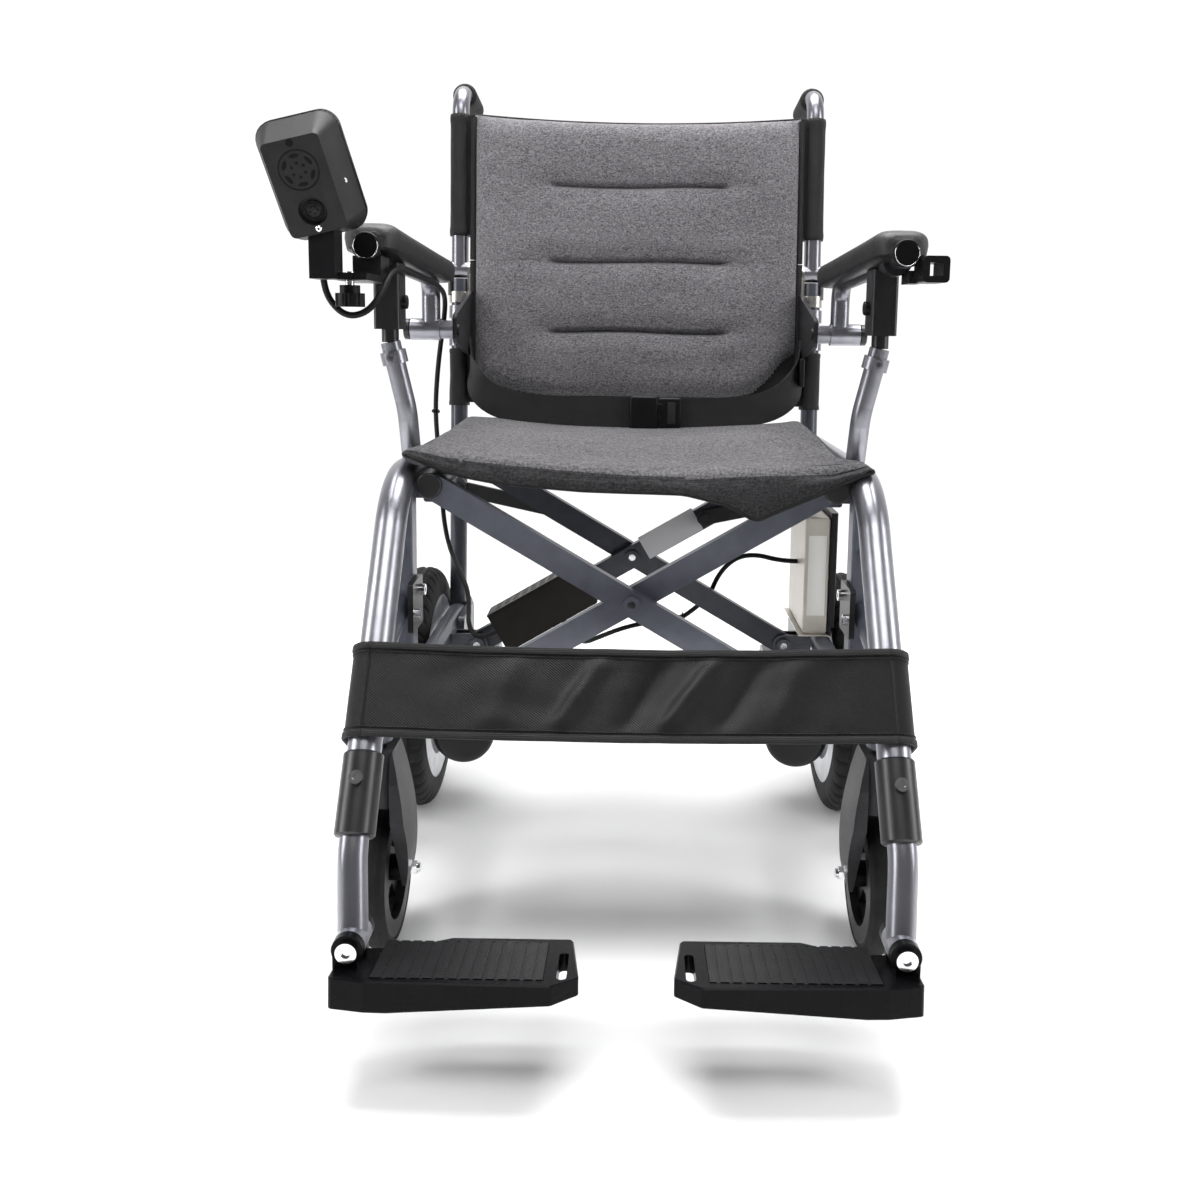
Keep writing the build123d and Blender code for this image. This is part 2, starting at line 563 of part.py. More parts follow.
def rail_saddles(hand):
    """Open cradles under the seat rail, and the lug of the side link with its bolt."""
    parts = []
    for y in (-72, 172):
        cradle = block((188, 217), (y, y + 34), (436, 459), 3, Axis.Y)
        arm = block((206, 232), (y, y + 34), (440, 456))
        cradle = cradle + arm - rod(RAIL_R + 1, (RAIL_X, y - 5, RAIL_Z), (RAIL_X, y + 40, RAIL_Z))
        parts.append(keep_main(cradle - post_envelope()))
    link_y, lug_y = link_planes(hand)
    lug = plate_xz([(226, 456), (238, 456), (226, 408), (207, 408), (204, 426)], lug_y, LINK_T)
    x, z = LINK_PIVOT
    low, high = min(link_y, lug_y), max(link_y, lug_y) + LINK_T
    lug = keep_main(lug - post_envelope()) + rod(4, (x, low - 1, z), (x, high + 1, z))
    for y in (low - 5, high + 0.6):
        lug = lug + rod(7, (x, y, z), (x, y + 4.4, z))
    parts.append(lug)
    return group(*parts)


def side_link(hand):
    """Flat link from the side frame in to the cross arm, in its own plane behind or before the arms."""
    y = link_planes(hand)[0]
    end = Vector(LINK_END_X, 0, PIVOT_Z + SLOPE * (PIVOT_X + LINK_END_X))
    start = Vector(LINK_PIVOT[0], 0, LINK_PIVOT[1])
    along = (end - start).normalized()
    across = Vector(-along.Z, 0, along.X) * 9
    corners = [start + across, start - across, end - across, end + across]
    bar = plate_xz([(p.X, p.Z) for p in corners], y, LINK_T)
    for p in (start, end):
        bar = bar + rod(9, (p.X, y, p.Z), (p.X, y + LINK_T, p.Z))
    rivet = (y - 3, y) if hand > 0 else (y + LINK_T, y + LINK_T + 3)
    bar = bar + rod(5, (end.X, rivet[0], end.Z), (end.X, rivet[1], end.Z))
    return keep_main(bar - rod(4 + RUN, (start.X, y - 5, start.Z), (start.X, y + 10, start.Z)))


# ---- back ---------------------------------------------------------------
def cane_line():
    y0 = post_y(HINGE_Z)
    top = (SIDE_X, post_y(CANE_TOP), CANE_TOP)
    return [(SIDE_X, y0, HINGE_Z), top, (SIDE_X, top[1] + 100, CANE_TOP - 9)]


def back_cane():
    y, z = post_y(HINGE_Z), HINGE_Z
    tube = pipe(cane_line(), 34, CANE_R)
    eye = rod(CANE_R, (SIDE_X - CANE_R + 0.1, y, z), (SIDE_X + CANE_R - 0.1, y, z))
    tube = tube + eye
    for s in (1, -1):
        tube = tube - back_hinge_clear(s)
    return keep_main(tube - rod(4 + RUN, (SIDE_X - 30, y, z), (SIDE_X + 30, y, z)))


def back_hinge_clear(s):
    """Room for a hinge cheek beside the cane's eye."""
    y, z = post_y(HINGE_Z), HINGE_Z
    x = SIDE_X + s * CANE_R
    return rod(16, (x - 0.1 * s, y, z), (x + 6 * s, y, z))


def push_grip():
    y = post_y(CANE_TOP)
    a, b = (SIDE_X, y + 30, CANE_TOP - 2.7), (SIDE_X, y + 108, CANE_TOP - 9.72)
    grip = rod(16, a, b)
    grip = fillet(grip.edges(), 5)
    core = rod(CANE_R, (SIDE_X, y + 20, CANE_TOP - 1.8), (SIDE_X, y + 100, CANE_TOP - 9))
    return keep_main(grip - core)


def back_pad(upper):
    """Padded back panel in front of the canes. The two halves turn on the half-fold hinge's line."""
    depth, thick, half = 19, 17, 212
    y, z = post_y(HINGE_Z), HINGE_Z
    if upper:
        pad = block((-half, half), (-depth, -depth + thick), (0, 199))
    else:
        pad = block((-half, half), (-depth, -depth + thick), (-172, 0))
    pad = fillet(pad.edges().filter_by(Axis.Y), 6)
    shift = 0.3 if upper else -0.3
    return Pos(0, y, z) * Rot(-4.74, 0, 0) * Pos(0, 0, shift) * pad


# ---- seat ---------------------------------------------------------------
def seat_cushion():
    pad = block((-217, 217), (-121, 226), (486, 507)) + block((-226, 226), (-121, -96), (486, 507))
    return fillet(pad.edges().filter_by(Axis.Z), 4)


def seat_sling():
    return block((-208, 208), (-104, 222), (474, 485))


def calf_strap():
    """Padded strap across the front posts."""
    lean = 90 - (Vector(*POST_CORNER) - Vector(*POST_FOOT)).get_angle(Vector(0, 1, 0))
    z, width, height, thick = 290, 506, 84, 4
    slab = Box(width, thick, height, align=(Align.CENTER, Align.MAX, Align.CENTER))
    return Pos(0, front_y(z), z) * Rot(-lean, 0, 0) * Pos(0, -POST_R - 0.6, 0) * slab


def seat_belt():
    """Webbing across the lap, shaped as one shallow arc in front of the back panel."""
    outer = ThreePointArc((-208, 236), (0, 214), (208, 236))
    inner = ThreePointArc((208, 239), (0, 217), (-208, 239))
    face = make_face([outer, Line((208, 236), (208, 239)), inner, Line((-208, 239), (-208, 236))])
    strap = extrude(Pos(0, 0, 512) * face, amount=42)
    return strap - block((-22, 88), (190, 250), (500, 560))


def belt_buckle():
    shell = block((-20, 86), (207, 219), (514, 552), 4)
    return shell


# ---- drive electronics --------------------------------------------------
def on_rear_arm(shape):
    """Places a shape that is drawn level on the lower half of the rear arm that starts on the right."""
    angle = Vector(1, 0, 0).get_angle(Vector(1, 0, SLOPE))
    return Pos(-104, 0, 285) * Rot(0, -angle, 0) * shape


def controller_box():
    case = Box(122, 38, 50, align=(Align.CENTER, Align.MAX, Align.CENTER))
    case = fillet(case.edges().filter_by(Axis.Y), 4)
    y = arm_planes(1)[1]
    return on_rear_arm(Pos(0, y - 0.05, 0) * case)


def controller_cover():
    """Perforated sheet cover over the controller's upper face and front."""
    y = arm_planes(1)[1]
    top = Pos(0, y - 41, 25.1) * Box(126, 42, 1.6, align=(Align.CENTER, Align.MIN, Align.MIN))
    front = Pos(0, y - 38.2, -20) * Box(126, 1.6, 46.7, align=(Align.CENTER, Align.MAX, Align.MIN))
    cover = top + front
    for i in range(9):
        for j in range(3):
            slot = Pos(-48 + 12 * i, y - 31 + 10 * j, 26) * Box(8, 3.6, 6)
            cover = cover - slot
    return on_rear_arm(cover)


def battery():
    pack = block((207, 237), (104, 232), (253, 396), 4, Axis.Y)
    return fillet(pack.edges().group_by(Axis.Z)[-1], 2)


def battery_dock():
    strip = block((237.1, 245), (100, 236), (262, 402), 2, Axis.Z)
    shoe = block((202, 237), (100, 236), (251.2, 252.8))
    dock = strip + block((237, 241), (100, 236), (251.2, 264)) + shoe
    rail = rod(TUBE_R, (SIDE_X, 90, LOWER_Z), (SIDE_X, 300, LOWER_Z))
    return keep_main(dock - rail - post_envelope())


# ---- armrest ------------------------------------------------------------
def armrest_z(y):
    """Height of the armrest tube's axis."""
    run = (y - ARM_FRONT_Y) / (ARM_PIVOT_Y - ARM_FRONT_Y)
    return ARM_FRONT_Z + run * (ARM_REAR_Z - ARM_FRONT_Z)


def armrest_tube():
    points = [
        (ARMREST_X, ARM_FRONT_Y, ARM_FRONT_Z),
        (ARMREST_X, ARM_PIVOT_Y, ARM_REAR_Z),
        (ARMREST_X, ARM_PIVOT_Y, ARM_PIVOT_Z + 8),
    ]
    tube = pipe(points, 24, CANE_R)
    eye = rod(13, (234.6, ARM_PIVOT_Y, ARM_PIVOT_Z), (270, ARM_PIVOT_Y, ARM_PIVOT_Z))
    return keep_main(tube + eye - rod(7 + RUN, (230, ARM_PIVOT_Y, ARM_PIVOT_Z), (280, ARM_PIVOT_Y, ARM_PIVOT_Z)))


def armrest_cap():
    y = ARM_FRONT_Y
    disc = rod(13, (ARMREST_X, y - 5, ARM_FRONT_Z), (ARMREST_X, y, ARM_FRONT_Z))
    disc = fillet(disc.edges().group_by(Axis.Y)[0], 1.5)
    plug = rod(CANE_R - WALL, (ARMREST_X, y, ARM_FRONT_Z), (ARMREST_X, y + 15, ARM_FRONT_Z - 0.5))
    return disc + plug


def armrest_pad():
    """Cushion that straddles the tube."""
    length, width, height = 368, 52, 29
    pad = Box(width, length, height, align=(Align.CENTER, Align.MIN, Align.MAX))
    pad = fillet(pad.edges().filter_by(Axis.Z), 14)
    pad = fillet(pad.faces().sort_by(Axis.Z)[-1].edges(), 8)
    fall = Vector(0, 1, 0).get_angle(Vector(0, ARM_PIVOT_Y - ARM_FRONT_Y, ARM_REAR_Z - ARM_FRONT_Z))
    pad = Pos(ARMREST_X, -176, 712) * Rot(-fall, 0, 0) * pad
    core = pipe(
        [(ARMREST_X, -220, armrest_z(-220)), (ARMREST_X, ARM_PIVOT_Y, ARM_REAR_Z),
         (ARMREST_X, ARM_PIVOT_Y, 620)], 24, CANE_R + 0.3, wall=0,
    )
    channel = block((ARMREST_X - 11.3, ARMREST_X + 11.3), (-220, 161.3), (640, armrest_z(0)))
    return keep_main(pad - core - channel)


def cup_bracket():
    """Black accessory holder on the left armrest, ready for a cup or phone clip."""
    clip = block((ARMREST_X + 13, ARMREST_X + 37), (-196, -160), (662, 686), 4, Axis.Y)
    clip = clip - block((ARMREST_X + 19, ARMREST_X + 31), (-200, -150), (668, 680))
    band = rod(14, (ARMREST_X, -150, armrest_z(-150) - 3), (ARMREST_X, -132, armrest_z(-132) - 3))
    bridge = block((ARMREST_X + 8, ARMREST_X + 20), (-163, -132), (662, 674))
    whole = clip + bridge + band
    whole = whole - rod(CANE_R + 0.05, (ARMREST_X, -200, armrest_z(-200)), (ARMREST_X, -90, armrest_z(-90)))
    whole = whole - block((200, 300), (-150.5, -131), (armrest_z(-140) + 0.2, 730))
    return keep_main(whole - grown_pad())


def grown_pad():
    """Armrest pad's envelope, to keep hardware out of it."""
    fall = Vector(0, 1, 0).get_angle(Vector(0, ARM_PIVOT_Y - ARM_FRONT_Y, ARM_REAR_Z - ARM_FRONT_Z))
    pad = Box(52.6, 369, 29.4, align=(Align.CENTER, Align.MIN, Align.MAX))
    return Pos(ARMREST_X, -176.5, 712.2) * Rot(-fall, 0, 0) * pad


# ---- joystick controller ------------------------------------------------
def placed(shape):
    """Puts a shape drawn in the housing's own frame in place: +Z is the panel's normal, -Y its upper end."""
    return Pos(STICK_X, STICK_Y, STICK_Z) * Rot(0, -STICK_LEAN, 0) * Rot(-STICK_TILT, 0, 0) * shape


def local_point(x, y, z):
    """Where a point of the housing's own frame is in the chair's frame."""
    spot = placed(Pos(x, y, z) * Sphere(1)).center()
    return (spot.X, spot.Y, spot.Z)


def recess(x, y, z, r, depth):
    """Round cutter or plug in the housing's own frame that starts at z and goes up."""
    return Pos(x, y, z) * Cylinder(r, depth, align=(Align.CENTER, Align.CENTER, Align.MIN))


STICK_AT = (0, 20, 9)             # centre of the joystick's universal joint
POWER_AT, HORN_AT, ROCKER_AT = (-20, -34), (20, -34), (0, -34)
PANEL = STICK_D / 2               # height of the panel in the housing's own frame


def joystick_housing():
    """Housing with a wide rim round the panel and a belly that tapers forward."""
    rim = Rectangle(STICK_W, STICK_L)
    rim = fillet(rim.vertices(), 16)
    collar = extrude(Pos(0, 0, PANEL - 13) * rim, amount=13)
    collar = fillet(collar.faces().sort_by(Axis.Z)[-1].edges(), 3)
    belly = extrude(Pos(0, 0, PANEL - 13) * rim, amount=-37, taper=STICK_TAPER)
    body = collar + belly
    x, y, z = STICK_AT
    body = body - recess(x, y, z - 10, 17, 60)
    body = body - recess(*POWER_AT, PANEL - 8, 7.2, 20) - recess(*HORN_AT, PANEL - 8, 7.2, 20)
    body = body - Pos(*ROCKER_AT, PANEL - 9) * Box(12.6, 24.6, 30, align=(Align.CENTER, Align.CENTER, Align.MIN))
    axle = Pos(*ROCKER_AT, PANEL - 4) * Rot(0, 90, 0) * Cylinder(1.5, 16)
    trunnion = Pos(x, y, z) * Rot(0, 90, 0) * Cylinder(2, 40)
    trunnion = trunnion - Pos(x, y, z) * Box(18.2, 10, 10)
    floor = -PANEL
    body = body - recess(0, 21, floor - 1, 12, 7) - recess(0, 21, floor - 1, 7, 16)
    body = body + axle + trunnion
    return placed(keep_main(body))


def joystick_gimbal():
    """Ring of the universal joint: it rocks on the housing's trunnions and carries the lever's pin."""
    ring = Cylinder(12, 6) - Cylinder(8.5, 7)
    ring = ring - Rot(0, 90, 0) * Cylinder(2 + RUN, 40)
    pin = Rot(90, 0, 0) * Cylinder(2, 19)
    return placed(Pos(*STICK_AT) * keep_main(ring + pin))


def joystick_lever():
    """Rod with a mushroom knob, on the gimbal's pin."""
    hub = Cylinder(5, 8) - Rot(90, 0, 0) * Cylinder(2 + RUN, 20)
    stem = Pos(0, 0, 3.5) * Cylinder(3, 34, align=(Align.CENTER, Align.CENTER, Align.MIN))
    knob = Pos(0, 0, 34) * Cylinder(12, 16, align=(Align.CENTER, Align.CENTER, Align.MIN))
    knob = fillet(knob.edges(), 6)
    return placed(Pos(*STICK_AT) * (hub + stem + knob))


def panel_button(at):
    button = Pos(*at, PANEL - 4.5) * Cylinder(7, 6, align=(Align.CENTER, Align.CENTER, Align.MIN))
    return placed(fillet(button.edges().group_by(Axis.Z)[-1], 1.5))


def speed_rocker():
    """Rocker that raises or lowers the speed, on its own axle across the panel."""
    rocker = Pos(*ROCKER_AT, PANEL - 4) * Box(12, 23, 6)
    return placed(rocker - Pos(*ROCKER_AT, PANEL - 4) * Rot(0, 90, 0) * Cylinder(1.5 + RUN, 30))


def joystick_bracket():
    """Slide plate under the right armrest tube, its saddle, and the upright to the housing."""
    x = -ARMREST_X
    slide = block((x - 20, x + 12), (-236, -140), (656, 662))
    saddle = block((x - 14, x + 12), (-178, -142), (661.5, 682))
    upright = block((x - 34, x - 12), (-250, -222), (656, 706))
    whole = slide + saddle + upright + block((x - 34, x), (-240, -222), (656, 662))
    whole = whole - rod(CANE_R, (x, -220, armrest_z(-220)), (x, -100, armrest_z(-100)))
    whole = whole - block((x - 60, x + 60), (-181, -140), (armrest_z(-178) - 8, 760))
    whole = whole - rod(4.3, (KNOB_X, KNOB_Y, 600), (KNOB_X, KNOB_Y, 675))
    hull = Rectangle(STICK_W, STICK_L)
    hull = fillet(hull.vertices(), 16)
    belly = extrude(Pos(0, 0, PANEL - 13) * hull, amount=-37, taper=STICK_TAPER)
    collar = extrude(Pos(0, 0, PANEL - 13) * hull, amount=13)
    return keep_main(whole - placed(belly + collar))


KNOB_X, KNOB_Y = -255, -210


def bracket_knob():
    """Stepped clamp knob under the slide plate, with its threaded stud."""
    stud = rod(4, (KNOB_X, KNOB_Y, 650), (KNOB_X, KNOB_Y, 664))
    neck = rod(9, (KNOB_X, KNOB_Y, 644), (KNOB_X, KNOB_Y, 652))
    grip = rod(13, (KNOB_X, KNOB_Y, 633), (KNOB_X, KNOB_Y, 645))
    for i in range(8):
        flute = Pos(KNOB_X, KNOB_Y, 639) * Rot(0, 0, 45 * i) * Pos(14.2, 0, 0) * Cylinder(2.6, 20)
        grip = grip - flute
    return stud + neck + grip


# ---- leads --------------------------------------------------------------
JOYSTICK_LEAD = [
    (-282.4, -217.9, 691.3), (-279.8, -213.8, 680.3), (-280, -208, 662), (-277, -203, 640), (-262, -199, 624), (-244, -193, 628),
    (-232, -184, 646), (-229, -166, 664), (-229, -132, 671), (-229, -74, 669), (-229, -16, 668),
    (-229.5, 42, 665), (-229, 92, 664), (-229, 122, 659),
]
HARNESS = [
    (-229, 122, 659), (-229, 146, 655), (-232, 168, 636), (-239, 182, 604), (-247, 196, 560),
    (-254, 218, 510), (-255, 240, 462), (-252, 249, 414), (-250, 247, 366), (-240, 234, 326),
    (-221, 208, 300), (-207, 176, 282), (-202, 146, 266), (-200, 124, 258), (-193, 108, 247),
    (-178, 101, 242.3), (-157.2, 101, 253.9),
]
BATTERY_LEAD = [
    (206.9, 166, 330), (187, 166, 330), (154, 163, 339), (128, 162, 334), (108, 164, 312),
    (96, 167, 278), (66, 170, 256), (28, 170, 249), (-8, 166, 242), (-38, 150, 234),
    (-58, 124, 232), (-71.6, 101, 249.5), (-82.5, 101, 268.2),
]


def lead_radii(points):
    """Arc radius at each inner point: 0.45 of the shorter run over the tangent of half the turn."""
    radii = []
    for a, b, c in zip(points, points[1:], points[2:]):
        before, after = Vector(*b) - Vector(*a), Vector(*c) - Vector(*b)
        turn = radians(before.get_angle(after))
        radii.append(0.45 * min(before.length, after.length) / tan(turn / 2))
    return radii


def lead(name, points):
    radii = lead_radii(points)
    path = FilletPolyline(*[Vector(*p) for p in points], radius=radii)
    print(name, "length", round(path.length), "radii", [round(r) for r in radii])
    return sweep(Plane(origin=path @ 0, z_dir=path % 0) * Circle(CORD_R), path=path)


# ---- nodes --------------------------------------------------------------
def side_nodes(hand):
    """The solids of one side frame and what it carries, as drawn on the +X side."""
    return {
        "side_tube": side_tube(),
        "lower_frame": group(lower_rail(), seat_strut(), frame_brace(), brace_bracket()),
        "caster_housing": group(caster_housing(), stem_bearings()),
        "frame_brackets": group(axle_bracket(), pivot_brackets(-hand), rail_saddles(hand)),
        "rear_post": group(rear_post(), back_hinge()),
        "armrest_gusset": group(arm_gusset(), armrest_pin()),
        "armrest_support": group(armrest_support(), support_collar(), armrest_latch()),
        "leg_rest": group(leg_socket(), socket_screw(), leg_tube(), foot_bolt()),
        "drive_motor": drive_motor(),
        "latch_button": latch_button(),
        "footplate": group(footplate(), footplate_grip()),
        "caster_fork": group(caster_fork(), caster_axle()),
        "caster_rim": caster_rim(),
        "caster_tyre": caster_tyre(),
        "drive_rim": drive_rim(),
        "drive_tyre": drive_tyre(),
        "armrest_pad": armrest_pad(),
        "back_cane": group(back_cane(), push_grip()),
        "side_link": side_link(hand),
    }


def main():
    nodes = {}
    for name, sign in SIDES:
        for key, shape in side_nodes(sign).items():
            nodes[f"{key}_{name}"] = shape if sign > 0 else mirror(shape, about=Plane.YZ)
    right_tube = mirror(group(armrest_tube(), armrest_cap()), about=Plane.YZ)
    rails = group(seat_rail(), rail_caps())
    nodes.update({
        "armrest_tube_left": group(armrest_tube(), armrest_cap(), cup_bracket()),
        "armrest_tube_right": group(right_tube, joystick_bracket()),
        "cross_arms_a": group(cross_arms(1), centre_bolts(), rails),
        "cross_arms_b": group(cross_arms(-1), mirror(rails, about=Plane.YZ)),
        "seat_cushion": group(seat_cushion(), seat_sling()),
        "back_pad_lower": back_pad(False),
        "back_pad_upper": back_pad(True),
        "calf_strap": calf_strap(),
        "seat_belt": group(seat_belt(), belt_buckle()),
        "controller_box": group(controller_box(), controller_cover()),
        "battery": group(battery(), battery_dock()),
        "joystick_housing": joystick_housing(),
        "joystick_gimbal": joystick_gimbal(),
        "joystick_lever": joystick_lever(),
        "power_button": panel_button(POWER_AT),
        "horn_button": panel_button(HORN_AT),
        "speed_rocker": speed_rocker(),
        "bracket_knob": bracket_knob(),
        "joystick_lead": lead("joystick_lead", JOYSTICK_LEAD),
        "harness": group(lead("harness", HARNESS), lead("battery_lead", BATTERY_LEAD)),
    })
    os.makedirs("parts", exist_ok=True)
    for name, shape in nodes.items():
        export_step(shape, f"parts/{name}.step")
    print(len(nodes), "nodes")


main()
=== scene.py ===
"""Looks of the folding power wheelchair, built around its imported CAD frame. Metres, row frame."""
import json
import math

import bmesh
import bpy
import numpy as np
from mathutils import Matrix, Vector, noise


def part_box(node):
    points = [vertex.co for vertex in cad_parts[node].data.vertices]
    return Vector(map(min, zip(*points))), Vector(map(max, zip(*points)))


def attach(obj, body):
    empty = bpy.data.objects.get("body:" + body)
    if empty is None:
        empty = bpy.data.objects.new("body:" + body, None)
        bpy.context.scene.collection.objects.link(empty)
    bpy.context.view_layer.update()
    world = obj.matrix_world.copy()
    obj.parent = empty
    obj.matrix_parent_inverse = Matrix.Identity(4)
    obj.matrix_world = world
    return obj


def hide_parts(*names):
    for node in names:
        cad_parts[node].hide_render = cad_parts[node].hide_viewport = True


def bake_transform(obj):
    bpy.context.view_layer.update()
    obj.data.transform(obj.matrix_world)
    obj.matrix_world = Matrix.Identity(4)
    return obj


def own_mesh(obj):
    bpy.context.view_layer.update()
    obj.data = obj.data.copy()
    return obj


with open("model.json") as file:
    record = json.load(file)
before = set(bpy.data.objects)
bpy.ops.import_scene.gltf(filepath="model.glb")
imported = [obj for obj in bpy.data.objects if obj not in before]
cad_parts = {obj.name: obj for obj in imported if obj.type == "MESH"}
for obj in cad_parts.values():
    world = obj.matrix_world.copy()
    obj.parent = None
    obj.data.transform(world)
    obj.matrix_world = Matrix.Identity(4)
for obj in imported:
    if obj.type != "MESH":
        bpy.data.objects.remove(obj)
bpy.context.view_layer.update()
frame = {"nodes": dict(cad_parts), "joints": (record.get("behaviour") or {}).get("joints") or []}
NODES = frame["nodes"]
JOINTS = {j["name"]: j for j in frame["joints"]}
SCENE = bpy.context.scene
SIDES = (("left", 1), ("right", -1))

POST_X = 0.232                     # plane of the side frames' tubes
ARMREST_X = 0.246
AXLE_Y, AXLE_Z = 0.200, 0.153      # drive axle
HINGE = Vector(JOINTS["back_fold_right"]["pos_m"])
RECLINE = math.radians(4.74)
UP = Vector((0, math.sin(RECLINE), math.cos(RECLINE)))
FRONT = Vector((0, -math.cos(RECLINE), math.sin(RECLINE)))


# ---- camera, floor and light --------------------------------------------
def camera():
    """Eye level with the seat back, looking a little down, with the picture turned slightly."""
    data = bpy.data.cameras.new("camera")
    data.lens, data.sensor_width = 34.5, 36
    data.shift_x, data.shift_y = -0.02757, -0.09413
    cam = bpy.data.objects.new("camera", data)
    turn = Matrix.Rotation(math.radians(90 - 8), 4, "X") @ Matrix.Rotation(math.radians(0.8), 4, "Z")
    cam.matrix_world = Matrix.Translation((0, -1.25, 0.62)) @ turn
    SCENE.collection.objects.link(cam)
    SCENE.camera = cam


def area_light(name, place, target, size, power):
    data = bpy.data.lights.new(name, "AREA")
    data.shape, data.size, data.size_y, data.energy = "RECTANGLE", size[0], size[1], power
    lamp = bpy.data.objects.new(name, data)
    aim = (Vector(target) - Vector(place)).to_track_quat("-Z", "Y")
    lamp.matrix_world = Matrix.Translation(place) @ aim.to_matrix().to_4x4()
    SCENE.collection.objects.link(lamp)


def studio():
    """White sweep behind the chair, a dimmer room in front of it, side and top soft boxes."""
    world = bpy.data.worlds.new("studio")
    world.use_nodes = True
    tree = world.node_tree
    split = tree.nodes.new("ShaderNodeSeparateXYZ")
    fade = tree.nodes.new("ShaderNodeMapRange")
    fade.interpolation_type = "SMOOTHSTEP"
    fade.inputs["From Min"].default_value, fade.inputs["From Max"].default_value = -0.05, 0.75
    fade.inputs["To Min"].default_value, fade.inputs["To Max"].default_value = 0.10, 1.04
    tree.links.new(tree.nodes.new("ShaderNodeTexCoord").outputs["Generated"], split.inputs["Vector"])
    tree.links.new(split.outputs["Y"], fade.inputs["Value"])
    tree.links.new(fade.outputs["Result"], tree.nodes["Background"].inputs["Strength"])
    tree.nodes["Background"].inputs["Color"].default_value = (1, 1, 1, 1)
    SCENE.world = world
    SCENE.view_settings.view_transform = "Standard"
    area_light("left_box", (-2.2, -0.7, 1.3), (0, 0, 0.55), (0.6, 1.8), 30)
    area_light("right_box", (2.2, -0.6, 1.3), (0, 0, 0.55), (0.6, 1.8), 27)
    area_light("top_box", (0, 0.45, 2.9), (0, 0, 0.3), (2.2, 1.5), 112)
    area_light("front_top_box", (0, -1.5, 2.6), (0, 0, 0.6), (1.6, 0.8), 29)
    floor_r, corners = 2.15, 90
    turns = [2 * math.pi * k / corners for k in range(corners)]
    floor = mesh_object("floor", [(floor_r * math.cos(t), floor_r * math.sin(t), 0) for t in turns],
                        [tuple(range(corners))])
    floor.data.materials.append(plain("floor", (0.96, 0.96, 0.96), 0.8))


# ---- mesh helpers -------------------------------------------------------
def mesh_object(name, points, faces, smooth=False):
    data = bpy.data.meshes.new(name)
    data.from_pydata([tuple(p) for p in points], [], faces)
    data.validate()
    data.update()
    if smooth:
        data.polygons.foreach_set("use_smooth", [True] * len(data.polygons))
    piece = bpy.data.objects.new(name, data)
    SCENE.collection.objects.link(piece)
    return piece


def outward(piece):
    """Makes the faces of a closed mesh point outwards."""
    work = bmesh.new()
    work.from_mesh(piece.data)
    bmesh.ops.recalc_face_normals(work, faces=work.faces)
    work.to_mesh(piece.data)
    work.free()
    return piece


def loft(name, rings):
    """Closed surface through rings of points, with a cap at each end."""
    n, faces = len(rings[0]), []
    for i in range(len(rings) - 1):
        for j in range(n):
            a, b = i * n + j, i * n + (j + 1) % n
            faces.append((a, b, b + n, a + n))
    faces.append(tuple(range(n - 1, -1, -1)))
    last = (len(rings) - 1) * n
    faces.append(tuple(last + j for j in range(n)))
    return outward(mesh_object(name, [p for ring in rings for p in ring], faces, smooth=True))


def wheel_of_rings(name, rings):
    """Surface through rings of points that come round to the first again."""
    n, m, faces = len(rings), len(rings[0]), []
    for i in range(n):
        for j in range(m):
            a, b, c = i * m, ((i + 1) % n) * m, (j + 1) % m
            faces.append((a + j, a + c, b + c, b + j))
    return outward(mesh_object(name, [p for ring in rings for p in ring], faces, smooth=True))


def grid_faces(nu, nv):
    """Faces of a grid of nu by nv cells, whose points are listed row by row."""
    starts = (j * (nu + 1) + i for j in range(nv) for i in range(nu))
    return [(a, a + 1, a + nu + 2, a + nu + 1) for a in starts]


def evaluated(piece):
    bpy.context.view_layer.update()
    return piece.evaluated_get(bpy.context.evaluated_depsgraph_get())


def coat(piece, *mats):
    """Gives a piece its materials, and nothing but these."""
    piece.data.materials.clear()
    for mat in mats:
        piece.data.materials.append(MAT[mat])


def smooth(piece, degrees=None):
    """Shades a piece smooth, with sharp edges where its faces turn by more than degrees."""
    piece.data.polygons.foreach_set("use_smooth", [True] * len(piece.data.polygons))
    if degrees:
        piece.data.set_sharp_from_angle(angle=math.radians(degrees))


def settled(piece):
    """The piece with its modifiers applied, as a plain mesh."""
    data = bpy.data.meshes.new_from_object(evaluated(piece))
    piece.modifiers.clear()
    piece.data = data
    return piece


def modifier(piece, kind, **settings):
    item = piece.modifiers.new(kind.lower(), kind)
    for key, value in settings.items():
        setattr(item, key, value)


def points_of(piece):
    return np.array([v.co for v in piece.data.vertices], float).reshape(-1, 3)


def set_points(piece, points):
    piece.data.vertices.foreach_set("co", np.asarray(points, np.float32).ravel())
    piece.data.update()


def inflate(piece, cap, pressure, frames):
    """Swells a closed mesh as cloth under pressure, and moves no point further than cap."""
    before = points_of(piece)
    cloth = piece.modifiers.new("cloth", "CLOTH")
    cloth.settings.use_pressure = True
    cloth.settings.uniform_pressure_force = pressure
    cloth.settings.quality = 5
    cloth.settings.effector_weights.gravity = 0
    for number in range(1, frames + 1):
        SCENE.frame_set(number)
    shape = piece.evaluated_get(bpy.context.evaluated_depsgraph_get())
    after = np.array([v.co for v in shape.data.vertices], float).reshape(-1, 3)
    piece.modifiers.remove(cloth)
    SCENE.frame_set(1)
    move = after - before
    size = np.linalg.norm(move, axis=1, keepdims=True)
    set_points(piece, before + move * np.minimum(1, cap / np.maximum(size, 1e-9)))


